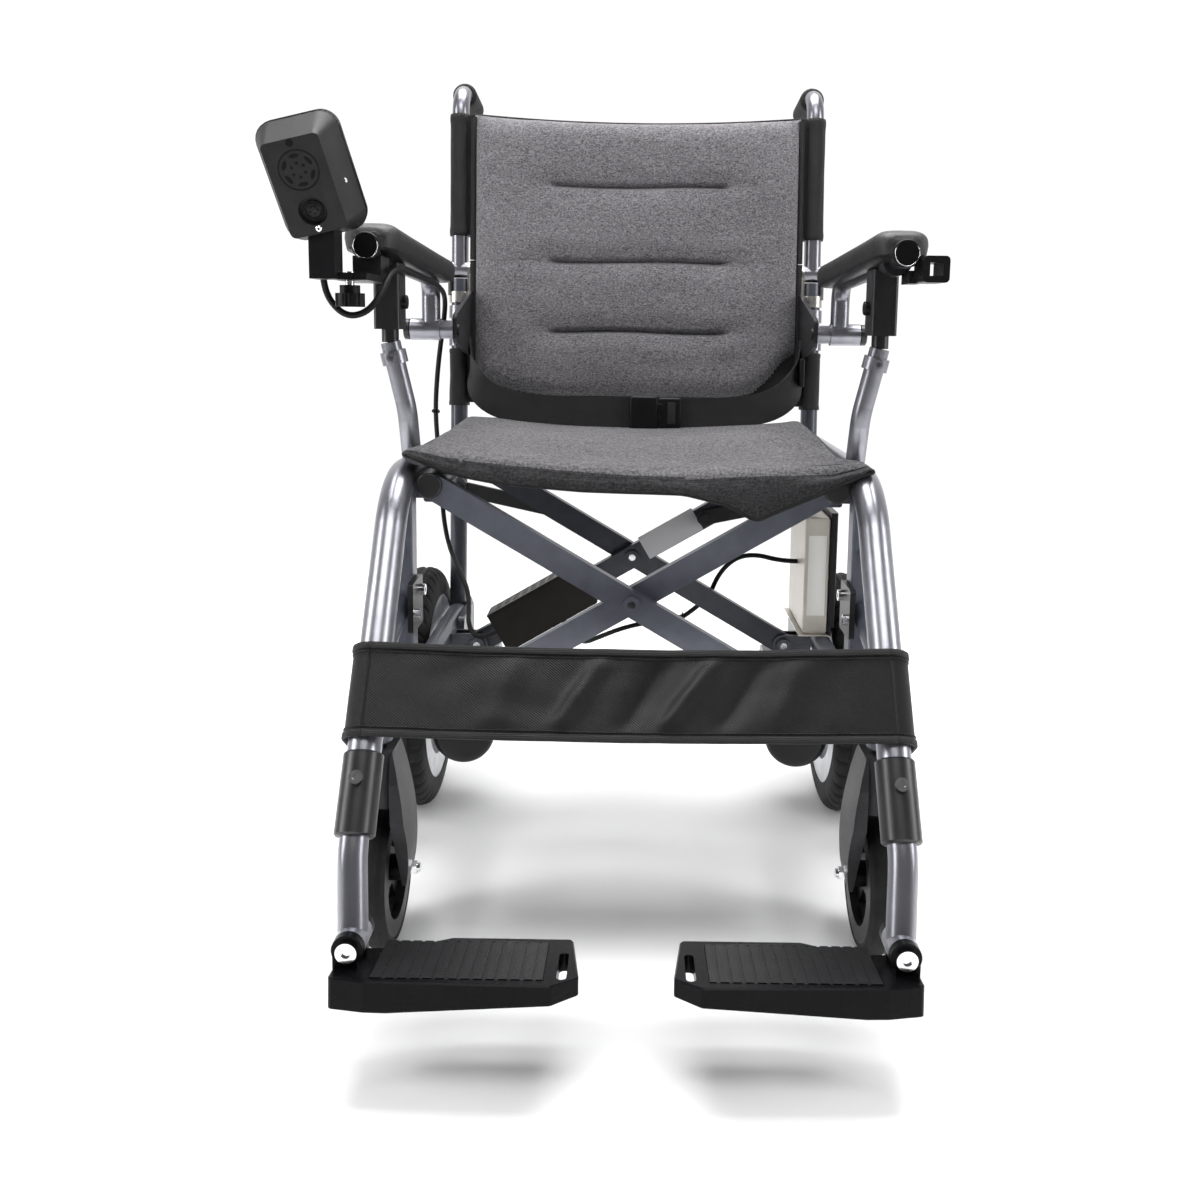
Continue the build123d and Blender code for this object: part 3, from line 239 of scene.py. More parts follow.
def ribbon(name, path, width, thick, width_dir, samples):
    """Flat strap of a given width along a smooth path."""
    line = smooth_line(path, samples)
    rings = []
    for i, point in enumerate(line):
        ahead, behind = line[min(i + 1, samples - 1)], line[max(i - 1, 0)]
        along = (ahead - behind).normalized()
        across = Vector(width_dir)
        across = (across - along * across.dot(along)).normalized()
        out = along.cross(across)
        half = width / 2
        corners = [(-half, -1), (-half * 0.5, -1), (0, -1), (half * 0.5, -1), (half, -1),
                   (half, 1), (half * 0.5, 1), (0, 1), (-half * 0.5, 1), (-half, 1)]
        rings.append([point + across * a + out * (b * thick / 2) for a, b in corners])
    return loft(name, rings)


def smooth_line(points, samples):
    """Evenly spaced points on the NURBS line that the route's points control."""
    curve = nurbs("route", points, 0)
    shape = bpy.data.meshes.new_from_object(evaluated(curve))
    line = np.array([v.co for v in shape.vertices], float).reshape(-1, 3)
    bpy.data.objects.remove(curve)
    bpy.data.meshes.remove(shape)
    gaps = np.linalg.norm(np.diff(line, axis=0), axis=1)
    at = np.concatenate([[0], np.cumsum(gaps)])
    want = np.linspace(0, at[-1], samples)
    return [Vector([np.interp(w, at, line[:, k]) for k in range(3)]) for w in want]


def nurbs(name, points, radius):
    data = bpy.data.curves.new(name, "CURVE")
    data.dimensions = "3D"
    data.resolution_u = 12
    data.bevel_depth = radius
    data.bevel_resolution = 4
    data.use_fill_caps = radius > 0
    line = data.splines.new("NURBS")
    line.points.add(len(points) - 1)
    for spot, point in zip(line.points, points):
        spot.co = (*point, 1)
    line.order_u = 3
    line.use_endpoint_u = True
    piece = bpy.data.objects.new(name, data)
    SCENE.collection.objects.link(piece)
    return piece


def joined(name, pieces):
    """One object from several meshes that keep their materials."""
    work = bmesh.new()
    mats = []
    for piece in pieces:
        data = piece.data
        data.transform(piece.matrix_world)
        slots = []
        for mat in data.materials:
            if mat not in mats:
                mats.append(mat)
            slots.append(mats.index(mat))
        start = len(work.faces)
        work.from_mesh(data)
        work.faces.ensure_lookup_table()
        for face in work.faces[start:]:
            face.material_index = slots[min(face.material_index, len(slots) - 1)] if slots else 0
    data = bpy.data.meshes.new(name)
    work.to_mesh(data)
    work.free()
    for mat in mats:
        data.materials.append(mat)
    result = bpy.data.objects.new(name, data)
    SCENE.collection.objects.link(result)
    for piece in pieces:
        bpy.data.objects.remove(piece)
    return result


# ---- materials ----------------------------------------------------------
def plain(name, colour, rough):
    mat = bpy.data.materials.new(name)
    mat.use_nodes = True
    shader = mat.node_tree.nodes["Principled BSDF"]
    shader.inputs["Base Color"].default_value = (*colour, 1)
    shader.inputs["Roughness"].default_value = rough
    return mat


class Surface:
    """A Principled material with small helpers for procedural detail in object coordinates."""

    def __init__(self, name, **constants):
        self.mat = bpy.data.materials.new(name)
        self.mat.use_nodes = True
        self.tree = self.mat.node_tree
        self.shader = self.tree.nodes["Principled BSDF"]
        self.place = self.tree.nodes.new("ShaderNodeTexCoord").outputs["Object"]
        for key, value in constants.items():
            self.shader.inputs[key.replace("_", " ")].default_value = value

    def feed(self, socket, value):
        """Sets a socket to a number or a colour, or links another node's output to it."""
        if isinstance(value, bpy.types.NodeSocket):
            self.tree.links.new(value, socket)
        else:
            socket.default_value = value

    def node(self, kind, output, **inputs):
        """One output of a new node, its inputs fed by name. kind may be a tuple, with fields to set after it."""
        kind, *fields = kind if isinstance(kind, tuple) else (kind,)
        node = self.tree.nodes.new(f"ShaderNode{kind}")
        for field, value in fields:
            setattr(node, field, value)
        for key, value in inputs.items():
            self.feed(node.inputs[key.replace("_", " ")], value)
        return node.outputs[output]

    def scaled(self, scale):
        return self.node("Mapping", "Vector", Scale=scale, Vector=self.place)

    def noise(self, scale, detail=4.0, vector=None, rough=0.5):
        vector = vector or self.place
        return self.node("TexNoise", "Fac", Scale=scale, Detail=detail, Roughness=rough, Vector=vector)

    def cells(self, scale, feature="F1"):
        return self.node(("TexVoronoi", ("feature", feature)), "Distance", Scale=scale, Vector=self.place)

    def wave(self, scale, direction, vector=None):
        kind = ("TexWave", ("bands_direction", direction))
        return self.node(kind, "Fac", Scale=scale, Vector=vector or self.place)

    def math(self, kind, a, b):
        node = self.tree.nodes.new("ShaderNodeMath")
        node.operation = kind
        for socket, value in zip(node.inputs, (a, b)):
            self.feed(socket, value)
        return node.outputs[0]

    def ramp(self, source, low, high, colour_low, colour_high):
        node = self.tree.nodes.new("ShaderNodeValToRGB")
        first, last = node.color_ramp.elements
        first.position, last.position = low, high
        first.color, last.color = (*colour_low, 1), (*colour_high, 1)
        self.feed(node.inputs["Fac"], source)
        return node.outputs["Color"]

    def mix(self, factor, a, b):
        """b over a by a factor, where a plain colour is three numbers."""
        node = self.tree.nodes.new("ShaderNodeMix")
        node.data_type = "RGBA"
        for number, value in ((0, factor), (6, a), (7, b)):
            self.feed(node.inputs[number], (*value, 1) if isinstance(value, tuple) else value)
        return node.outputs[2]

    def span(self, source, low, high):
        return self.node("MapRange", "Result", To_Min=low, To_Max=high, Value=source)

    def worn_edges(self, width=0.06):
        """1 on convex edges that get rubbed, broken up by noise."""
        edge = self.node("NewGeometry", "Pointiness")
        edge = self.node("MapRange", "Result", From_Min=0.5 + width * 0.4, From_Max=0.5 + width, Value=edge)
        return self.math("MULTIPLY", edge, self.noise(60, 3))

    def bump(self, height, strength, distance):
        normal = self.node("Bump", "Normal", Strength=strength, Distance=distance, Height=height)
        self.feed(self.shader.inputs["Normal"], normal)

    def colour(self, source):
        self.feed(self.shader.inputs["Base Color"], source)

    def roughness(self, source):
        self.feed(self.shader.inputs["Roughness"], source)


def shade(colour, factor):
    return tuple(min(1.0, c * factor) for c in colour)


def painted(name, colour, rough, metal=0.0, coat=0.0, grain=1600, wear=1.6):
    """Powder coat or moulded plastic: slow colour drift, fine grain, slightly rubbed edges."""
    s = Surface(name, Metallic=metal, Coat_Weight=coat, Coat_Roughness=0.12)
    drift = s.ramp(s.noise(9, 3), 0.3, 0.7, shade(colour, 0.92), shade(colour, 1.08))
    fleck = s.ramp(s.noise(grain, 2), 0.35, 0.65, shade(colour, 0.86), shade(colour, 1.14))
    base = s.mix(0.45, drift, fleck)
    s.colour(s.mix(s.worn_edges(), base, shade(colour, wear)))
    s.roughness(s.span(s.noise(35, 4), rough - 0.06, rough + 0.08))
    s.bump(s.noise(grain, 3), 0.12, 0.0004)
    return s.mat


def moulded(name, colour, rough, grain=2600, depth=0.0003, strength=0.25, shine=0.2):
    """Black moulded plastic with a fine spark-eroded grain."""
    s = Surface(name, Specular_IOR_Level=shine)
    base = s.ramp(s.noise(14, 4), 0.3, 0.7, shade(colour, 0.8), shade(colour, 1.25))
    s.colour(s.mix(s.worn_edges(0.05), base, shade(colour, 2.2)))
    s.roughness(s.span(s.noise(22, 5), rough - 0.07, rough + 0.09))
    s.bump(s.cells(grain), strength, depth)
    return s.mat


def polished(name, colour, rough):
    """Chrome or nickel with faint smears."""
    s = Surface(name, Metallic=1.0)
    s.colour(s.ramp(s.noise(40, 3), 0.2, 0.8, shade(colour, 0.9), colour))
    s.roughness(s.span(s.noise(120, 5), rough * 0.6, rough * 1.6))
    s.bump(s.noise(300, 3), 0.04, 0.0003)
    return s.mat


def cast(name, colour, rough):
    """Die-cast rim: bright metal with a light skin texture."""
    s = Surface(name, Metallic=0.85)
    s.colour(s.ramp(s.noise(70, 6), 0.25, 0.75, shade(colour, 0.8), shade(colour, 1.12)))
    s.roughness(s.span(s.noise(50, 4), rough - 0.05, rough + 0.12))
    s.bump(s.noise(900, 4), 0.2, 0.0005)
    return s.mat


def melange(name, dark, light, flat_axis, yarns=(430, 560, 640)):
    """Heather upholstery: two-tone yarns that run across, over a plain weave."""
    s = Surface(name, Sheen_Weight=0.12, Sheen_Roughness=0.5, Specular_IOR_Level=0.25)
    yarn = s.noise(1.0, 3, s.scaled(yarns), 0.62)
    slub = s.noise(1.0, 2, s.scaled((150, 420, 760)), 0.5)
    tone = s.math("ADD", s.math("MULTIPLY", yarn, 0.75), s.math("MULTIPLY", slub, 0.25))
    cloud = s.noise(7, 3)
    tone = s.math("ADD", tone, s.math("MULTIPLY", s.math("SUBTRACT", cloud, 0.5), 0.12))
    s.colour(s.ramp(tone, 0.36, 0.66, dark, light))
    s.roughness(s.span(yarn, 0.72, 0.95))
    warp = s.wave(260, "X")
    weft = s.wave(260, flat_axis)
    weave = s.math("ADD", s.math("MULTIPLY", warp, weft), s.math("MULTIPLY", yarn, 0.6))
    s.bump(weave, 0.55, 0.0007)
    return s.mat


def twill(name, colour):
    """Black nylon twill: fine diagonal ribs."""
    s = Surface(name, Specular_IOR_Level=0.2)
    ribs = s.wave(210, "DIAGONAL", s.scaled((1, 0.4, 1.3)))
    fine = s.wave(420, "Z")
    tone = s.math("MULTIPLY", ribs, s.noise(400, 2))
    s.colour(s.ramp(tone, 0.1, 0.6, shade(colour, 0.6), shade(colour, 2.0)))
    s.roughness(s.span(s.noise(40, 4), 0.38, 0.55))
    s.bump(s.math("ADD", ribs, s.math("MULTIPLY", fine, 0.3)), 0.5, 0.0007)
    return s.mat


def webbing(name, colour):
    """Woven tape: ribs across its width."""
    s = Surface(name, Sheen_Weight=0.03, Sheen_Roughness=0.4, Specular_IOR_Level=0.35)
    ribs = s.wave(230, "Z")
    cross = s.wave(330, "X")
    s.colour(s.ramp(s.math("MULTIPLY", ribs, cross), 0.0, 0.9, shade(colour, 0.7), shade(colour, 2.4)))
    s.roughness(s.span(s.noise(60, 3), 0.45, 0.7))
    s.bump(s.math("ADD", ribs, cross), 0.5, 0.0006)
    return s.mat


def leather(name, colour):
    """Grained polyurethane skin: creased cells over soft mottling."""
    s = Surface(name, Coat_Weight=0.12, Coat_Roughness=0.35)
    s.colour(s.ramp(s.noise(25, 4), 0.3, 0.75, shade(colour, 0.75), shade(colour, 1.5)))
    s.roughness(s.span(s.noise(90, 4), 0.36, 0.55))
    grain = s.math("ADD", s.cells(620, "DISTANCE_TO_EDGE"), s.math("MULTIPLY", s.noise(240, 5), 0.4))
    s.bump(grain, 0.6, 0.0009)
    return s.mat


def tread_rubber(name, colour):
    """Tyre rubber: dusty in patches, matt."""
    s = Surface(name, Specular_IOR_Level=0.35)
    dust = s.ramp(s.noise(30, 6), 0.45, 0.8, colour, shade(colour, 3.2))
    s.colour(dust)
    s.roughness(s.span(s.noise(80, 4), 0.62, 0.9))
    s.bump(s.noise(700, 4), 0.3, 0.0006)
    return s.mat


def paper(name, colour):
    """Printed label stock, left blank."""
    s = Surface(name)
    s.colour(s.ramp(s.noise(20, 3), 0.2, 0.8, shade(colour, 0.94), colour))
    s.roughness(s.span(s.noise(60, 3), 0.35, 0.5))
    s.bump(s.noise(500, 3), 0.05, 0.0002)
    return s.mat


SEAT_YARNS = (380, 150, 420)
MAT = {
    "silver": painted("silver_coat", (0.235, 0.235, 0.262), 0.30, metal=0.85, coat=0.1),
    "slate": painted("slate_coat", (0.085, 0.090, 0.112), 0.36, metal=0.5, coat=0.15),
    # Darker copy of the slate coat for the cross arms' rear part under the seat: painted shade.
    "rear_slate_shade": painted("rear_slate_shade_coat", (0.030, 0.032, 0.040), 0.38, metal=0.4, coat=0.1),
    "dark": painted("dark_coat", (0.060, 0.063, 0.075), 0.36, metal=0.45, coat=0.12),
    "black": painted("black_coat", (0.004, 0.004, 0.0045), 0.34, coat=0.04, wear=4),
    "chrome": polished("chrome", (0.85, 0.85, 0.87), 0.12),
    "nickel": polished("nickel", (0.72, 0.70, 0.66), 0.28),
    "rim": cast("cast_rim", (0.46, 0.47, 0.49), 0.34),
    "fork": moulded("fork_shell", (0.020, 0.020, 0.022), 0.40),
    "satin": moulded("satin_black", (0.0045, 0.0045, 0.005), 0.32),
    "plate": moulded("footplate_shell", (0.0025, 0.0025, 0.003), 0.26, grain=1500, strength=0.15, shine=0.08),
    "grip": moulded("grip_ribs", (0.007, 0.007, 0.0075), 0.34, grain=900, depth=0.0005, strength=0.4),
    "gloss": moulded("gloss_black", (0.004, 0.004, 0.0045), 0.16, grain=3500, strength=0.03),
    "belly": moulded("housing_belly", (0.011, 0.011, 0.0115), 0.44, grain=2200, strength=0.4),
    # Near-black for holes, slots and seam grooves: painted shade.
    "hole_shade": moulded("hole_shade_black", (0.0015, 0.0015, 0.0015), 0.7),
    "controller": moulded("controller_shell", (0.007, 0.006, 0.005), 0.36),
    "button": moulded("button_plastic", (0.06, 0.06, 0.07), 0.4),
    "motor": painted("motor_coat", (0.010, 0.010, 0.011), 0.4, metal=0.2, wear=4),
    "battery": painted("battery_shell", (0.50, 0.47, 0.42), 0.36, metal=0.5, grain=2500),
    "tyre": tread_rubber("tyre_rubber", (0.006, 0.006, 0.006)),
    "rubber": tread_rubber("grip_rubber", (0.007, 0.007, 0.007)),
    "cable": moulded("cable_sheath", (0.005, 0.005, 0.005), 0.42),
    "back_fabric": melange("back_melange", (0.052, 0.049, 0.054), (0.300, 0.290, 0.305), "Z"),
    "seat_fabric": melange("seat_melange", (0.022, 0.021, 0.023), (0.160, 0.155, 0.163), "Y", SEAT_YARNS),
    # Front flap: a darker copy of the seat heather, partly its own darker heather, partly painted shade of its
    # downward face.
    "seat_flap_with_shade": melange("flap_melange_with_painted_shade", (0.007, 0.007, 0.008), (0.050, 0.048, 0.051), "Y", SEAT_YARNS),
    "binding": webbing("binding_tape", (0.0045, 0.0045, 0.0045)),
    "lining": webbing("black_lining", (0.004, 0.004, 0.004)),
    "twill": twill("nylon_twill", (0.0055, 0.0055, 0.006)),
    "belt": webbing("belt_webbing", (0.005, 0.005, 0.005)),
    "leather": leather("armrest_skin", (0.007, 0.007, 0.0072)),
    "label": paper("blank_label", (0.80, 0.79, 0.75)),
    "tag": paper("silver_tag", (0.50, 0.50, 0.51)),
}


def paint(node, default, *rules):
    """Gives a CAD node its materials: each rule is a material and a test of a face's centre and normal."""
    data = NODES[node].data
    data.materials.clear()
    names = [default] + [name for name, _ in rules]
    for name in names:
        data.materials.append(MAT[name])
    for face in data.polygons:
        face.material_index = 0
        for number, (_, test) in enumerate(rules, 1):
            if test(face.center, face.normal):
                face.material_index = number
                break


# ---- finishes of the CAD pieces ------------------------------------------
def across(x, z, low, high):
    """Faces whose distance from an axis along Y, at +-x, is between two radii."""
    return lambda c, n: low <= math.hypot(abs(c.x) - x, c.z - z) <= high


POST_FOOT, POST_CORNER = (POST_X, -0.293, 0.237), (POST_X, -0.135, 0.468)


def post_distance(c):
    """How far a point is from the front posts' axis, and its height."""
    foot, corner = Vector(POST_FOOT), Vector(POST_CORNER)
    along = (corner - foot).normalized()
    away = Vector((abs(c.x), c.y, c.z)) - foot
    return (away - along * away.dot(along)).length


def finish_frame():
    for side in ("left", "right"):
        shoe = lambda c, n: 0.2139 < abs(c.x) < 0.2197 and -0.152 < c.y < -0.096 and 0.31 < c.z < 0.372
        bolts = lambda c, n: abs(c.x) < 0.2139 and -0.15 < c.y < -0.1 and 0.32 < c.z < 0.362
        paint(f"lower_frame_{side}", "slate", ("chrome", bolts), ("black", shoe))
        paint(f"caster_housing_{side}", "slate", ("black", lambda c, n: c.z > 0.2985 or c.z < 0.2275))
        paint(f"frame_brackets_{side}", "dark", ("chrome", across(0.188, 0.231, 0, 0.0052)),
              ("chrome", lambda c, n: abs(c.x) > 0.2196 and c.y > 0.15))
        pin = lambda c, n: c.z > 0.66 and abs(abs(c.x) - POST_X) > 0.0146
        paint(f"rear_post_{side}", "dark", ("chrome", pin), ("nickel", lambda c, n: c.z > 0.6441))
        paint(f"armrest_gusset_{side}", "black", ("silver", lambda c, n: 0.2215 < abs(c.x) < 0.2702))
        paint(f"armrest_support_{side}", "silver", ("black", lambda c, n: c.z > 0.5905))
        screw = lambda c, n: c.z > 0.184 and post_distance(c) > 0.0178
        socket = lambda c, n: c.z > 0.184 and post_distance(c) > 0.0128
        bolt = lambda c, n: c.y < -0.3825 and c.z > 0.1
        paint(f"leg_rest_{side}", "silver", ("chrome", screw), ("chrome", bolt), ("black", socket))
        paint(f"drive_motor_{side}", "motor", ("dark", lambda c, n: c.y > 0.1495))
        pad = lambda c, n: n.z > 0.9 and 0.0655 < abs(c.x) < 0.2055 and -0.3985 < c.y < -0.3275
        paint(f"footplate_{side}", "plate", ("grip", pad))
        nuts = lambda c, n: abs(abs(c.x) - 0.243) > 0.0252 and math.hypot(c.y + 0.157, c.z - 0.077) < 0.0085
        paint(f"caster_fork_{side}", "fork", ("chrome", nuts))
        for node, mat in (("side_tube", "silver"), ("latch_button", "satin"), ("caster_rim", "satin"),
                          ("caster_tyre", "tyre")):
            paint(f"{node}_{side}", mat)
        hub = lambda c, n: abs(c.x) > 0.282 and math.hypot(c.y - AXLE_Y, c.z - AXLE_Z) < 0.0375
        paint(f"drive_rim_{side}", "rim", ("satin", hub))
        paint(f"armrest_tube_{side}", "black", ("silver", lambda c, n: c.y > 0.115),
              ("satin", lambda c, n: c.y < -0.1818))
        paint(f"back_cane_{side}", "silver", ("rubber", lambda c, n: c.y > 0.3395 and c.z > 0.89))
        paint(f"side_link_{side}", "black", ("chrome", across(0.215, 0.4193, 0, 0.0042)))
    for name in ("cross_arms_a", "cross_arms_b"):
        # The rear part of each cross arm takes the darker slate copy: painted shade.
        paint(name, "slate", ("chrome", across(0, 0.3414, 0, 0.0052)),
              ("black", across(0.202, 0.46, 0, 0.0133)), ("rear_slate_shade", lambda c, n: c.y > 0.1))
    paint("controller_box", "controller")
    paint("battery", "battery", ("satin", lambda c, n: c.x > 0.2369))
    paint("bracket_knob", "satin", ("chrome", lambda c, n: c.z > 0.6525))
    paint("joystick_housing", "gloss", ("belly", lambda c, n: joystick_local(c).z < 0.0115))
    paint("joystick_gimbal", "chrome")
    paint("joystick_lever", "rubber")
    for name in ("power_button", "horn_button", "speed_rocker"):
        paint(name, "button")


# ---- joystick details ----------------------------------------------------
STICK_CENTRE = Vector((-0.2795, -0.243, 0.739))
STICK_X = Vector((math.cos(math.radians(13.5)), 0, math.sin(math.radians(13.5))))
STICK_Z = Vector(JOINTS["power_press"]["axis"]) * -1
STICK_Y = STICK_Z.cross(STICK_X).normalized()
BELLY = -0.025
RECESS, SPEAKER, SOCKET, TAIL = -0.0365, -0.014, 0.021, 0.0362    # places along the belly
STICK_HALF, STICK_REACH = 0.036, 0.0515                           # half the housing's width and length


def joystick_local(point):
    away = Vector(point) - STICK_CENTRE
    return Vector((away.dot(STICK_X), away.dot(STICK_Y), away.dot(STICK_Z)))


def joystick_world(x, y, z):
    return STICK_CENTRE + STICK_X * x + STICK_Y * y + STICK_Z * z


def stud(name, centre, normal, r, height, mat, sides=20, stretch=None):
    """Low round or oval button standing on a surface, with a softened edge."""
    normal = Vector(normal).normalized()
    a = normal.orthogonal().normalized() if stretch is None else Vector(stretch[0]).normalized()
    b = normal.cross(a)
    wide = r if stretch is None else stretch[1]
    rings = []
    for lift, share in ((0, 1), (height * 0.7, 1), (height, 0.86)):
        ring = []
        for k in range(sides):
            turn = 2 * math.pi * k / sides
            away = a * wide * math.cos(turn) + b * r * math.sin(turn)
            ring.append(Vector(centre) + normal * lift + away * share)
        rings.append(ring)
    piece = loft(name, rings)
    coat(piece, mat)
    smooth(piece, 40)
    return piece


def ring(name, centre, normal, r, thin, mat, sides=48):
    """Thin bead round a circle."""
    normal = Vector(normal).normalized()
    a = normal.orthogonal().normalized()
    b = normal.cross(a)
    path = [Vector(centre) + (a * math.cos(t) + b * math.sin(t)) * r
            for t in (2 * math.pi * k / sides for k in range(sides))]
    return tube_loop(name, path, thin, mat)


def tube_loop(name, path, thin, mat):
    """Round bead along a closed line."""
    rings, n, sides = [], len(path), 8
    for i, point in enumerate(path):
        along = (path[(i + 1) % n] - path[i - 1]).normalized()
        a = along.orthogonal().normalized() if i == 0 else (a - along * a.dot(along)).normalized()
        b = along.cross(a)
        rings.append([point + (a * math.cos(t) + b * math.sin(t)) * thin
                      for t in (2 * math.pi * k / sides for k in range(sides))])
    piece = wheel_of_rings(name, rings)
    coat(piece, mat)
    return piece


def joystick_details():
    """Grille, charging socket, screws and seams of the housing's underside."""
    out = -STICK_Z
    # Slots, holes, screw socket, socket contacts and seam grooves are thin near-black marks: painted shade.
    pieces = [ring("speaker_groove", joystick_world(0, SPEAKER, BELLY), out, 0.0165, 0.0006, "hole_shade")]
    for k in range(6):
        turn = math.radians(60 * k + 90)
        spot = joystick_world(0.0118 * math.cos(turn), SPEAKER + 0.0118 * math.sin(turn), BELLY)
        along = STICK_Y * math.cos(turn) - STICK_X * math.sin(turn)
        pieces.append(stud("slot", spot, out, 0.0017, 0.0002, "hole_shade", stretch=(along, 0.0043)))
        spot = joystick_world(0.0058 * math.cos(turn), SPEAKER + 0.0058 * math.sin(turn), BELLY)
        pieces.append(stud("hole_shade", spot, out, 0.0014, 0.0002, "hole_shade"))
    for spot, r, height, mat, sides in (((0, SOCKET, BELLY + 0.0062), 0.0064, 0.0016, "belly", 20),
                                        ((0, TAIL, BELLY), 0.0026, 0.0012, "chrome", 20),
                                        ((0, TAIL, BELLY - 0.0011), 0.0011, 0.0002, "hole_shade", 6),
                                        ((0, RECESS, BELLY), 0.0032, 0.0002, "hole_shade", 20)):
        pieces.append(stud("detail", joystick_world(*spot), out, r, height, mat, sides))
    for k in range(5):
        turn = math.radians(72 * k)
        x, y = 0.0034 * math.sin(turn), 0.0034 * math.cos(turn)
        spot = joystick_world(x, SOCKET + y, BELLY + 0.0047)
        pieces.append(stud("contact", spot, out, 0.0009, 0.0003, "hole_shade"))
    mouth = joystick_world(0, SOCKET, BELLY + 0.0055)
    pieces.append(ring("socket_ring", mouth, out, 0.0074, 0.0009, "satin"))
    lean = math.radians(17)
    slant = STICK_X * math.cos(lean) - STICK_Z * math.sin(lean)
    wall = STICK_HALF - (0.012 + 0.0062) * math.tan(lean)
    side = joystick_world(wall, 0.006, -0.0062)
    pieces.append(stud("side_screw", side, slant, 0.0020, 0.001, "chrome"))
    # Seam beads round the rim, near-black: painted shade of the grooves.
    for lift, bead in ((0.0125, 0.0005), (0.0175, 0.0004)):
        pieces.append(tube_loop("rim_seam", rim_line(lift), bead, "hole_shade"))
    whole = joined("joystick_trim", pieces)
    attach(whole, "armrest_right")


def rim_line(lift):
    """Rounded outline of the housing's rim at a height in its own frame."""
    line, r = [], 0.016
    for sx, sy, start in ((1, 1, 0), (-1, 1, 90), (-1, -1, 180), (1, -1, 270)):
        for k in range(7):
            turn = math.radians(start + 15 * k)
            x, y = sx * (STICK_HALF - r) + r * math.cos(turn), sy * (STICK_REACH - r) + r * math.sin(turn)
            line.append(joystick_world(x, y, lift))
    return line


# ---- upholstery ---------------------------------------------------------
def shell(name, front, back, nu, nv):
    """Closed piece between two surfaces over the same grid, u and v from 0 to 1."""
    upper = [front(i / nu, j / nv) for j in range(nv + 1) for i in range(nu + 1)]
    lower = [back(i / nu, j / nv) for j in range(nv + 1) for i in range(nu + 1)]
    n = (nu + 1) * (nv + 1)
    faces = grid_faces(nu, nv)
    faces += [tuple(n + a for a in reversed(face)) for face in faces]
    rim = list(range(nu)) + [j * (nu + 1) + nu for j in range(nv)]
    rim += [nv * (nu + 1) + i for i in range(nu, 0, -1)] + [j * (nu + 1) for j in range(nv, 0, -1)]
    for k, a in enumerate(rim):
        b = rim[(k + 1) % len(rim)]
        faces.append((b, a, n + a, n + b))
    piece = outward(mesh_object(name, upper + lower, faces, smooth=True))
    smooth(piece, 50)
    return piece


def step(x, low, high):
    """0 below low, 1 above high, smooth between."""
    t = min(1.0, max(0.0, (x - low) / (high - low)))
    return t * t * (3 - 2 * t)


def between(x, table):
    """Straight-line value of a table of (x, value) at x."""
    return float(np.interp(x, [a for a, _ in table], [b for _, b in table]))


BACK_HALF = 0.2125
SPLIT = 0.011                       # height of the fold across the back, in its middle channel
CHANNELS = (0.108, 0.011, -0.080)
TOP_S, LOW_S = 0.1985, -0.171


def back_point(x, out, s):
    """x across, out forward of the hinge line, s up from it along the canes."""
    return Vector((x, HINGE.y, HINGE.z)) + FRONT * out + UP * s


def panel_top(x):
    return TOP_S - 0.009 * (1 - (x / BACK_HALF) ** 2)


def panel_end(x):
    """Lower edge of the heather panel, above the black lining."""
    return between(x, ((-0.2125, -0.140), (-0.19, -0.149), (-0.16, -0.158), (-0.12, -0.164), (0.13, -0.164),
                       (0.155, -0.158), (0.175, -0.140), (0.19, -0.120), (0.2125, -0.102)))


def back_front(x, s):
    """How far the back's front surface stands forward at a place."""
    side = 1 - math.exp(-(BACK_HALF - abs(x)) / 0.010)
    top = 1 - math.exp(-max(0.0, panel_top(x) - s) / 0.009)
    low = 1 - math.exp(-max(0.0, s - panel_end(x)) / 0.007)
    out = 0.0075 + 0.0150 * side * top * low
    for level in CHANNELS:
        away = s - level - 0.0012 * math.sin(x * 31 + level * 50)
        reach = 1 - step(abs(x - 0.003), 0.104, 0.122)
        wide = 1 - step(abs(x - 0.003), 0.110, 0.165)
        out -= 0.0095 * reach * math.exp(-(away / 0.0030) ** 2)
        out -= 0.0050 * wide * math.exp(-(away / 0.015) ** 2)
    out += 0.0020 * noise.noise(Vector((x * 7, s * 9, 3.1))) * side
    out += 0.0011 * noise.noise(Vector((x * 19 + s * 8, s * 42, 7.7))) * side
    pull = noise.noise(Vector(((x - s) * 26, (x + s) * 7, 1.3)))
    near_end = math.exp(-((abs(x - 0.003) - 0.125) / 0.035) ** 2)
    return max(0.0045, out + 0.0016 * pull * near_end * low)


def back_panel(name, low, high):
    def level(u, v, at):
        x = (2 * u - 1) * BACK_HALF
        top = min(high, panel_top(x)) if high > 0.1 else high
        s = low + (top - low) * v
        return back_point(x, at(x, s), s)
    rows = round((high - low) / 0.0014)
    rear = 0.0025
    piece = shell(name, lambda u, v: level(u, v, back_front),
                  lambda u, v: level(u, v, lambda x, s: rear), 116, rows)
    inflate(piece, 0.0015, 1.2, 12)
    coat(piece, "back_fabric", "lining")
    for face in piece.data.polygons:
        away = face.center - HINGE
        s, out = away.dot(UP), away.dot(FRONT)
        face.material_index = 1 if out < 0.0042 or s < panel_end(face.center.x) else 0
    return piece


def edging(name, path, radius, mat="binding"):
    """Sewn tape or cord along an edge, as a mesh."""
    curve = nurbs(name, path, radius)
    data = bpy.data.meshes.new_from_object(evaluated(curve))
    bpy.data.objects.remove(curve)
    piece = bpy.data.objects.new(name, data)
    coat(piece, mat)
    smooth(piece)
    SCENE.collection.objects.link(piece)
    return piece


def gather(piece, body):
    """The piece rides a body, with a mesh of its own."""
    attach(piece, body)
    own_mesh(piece)


SLEEVE_R = 0.0131


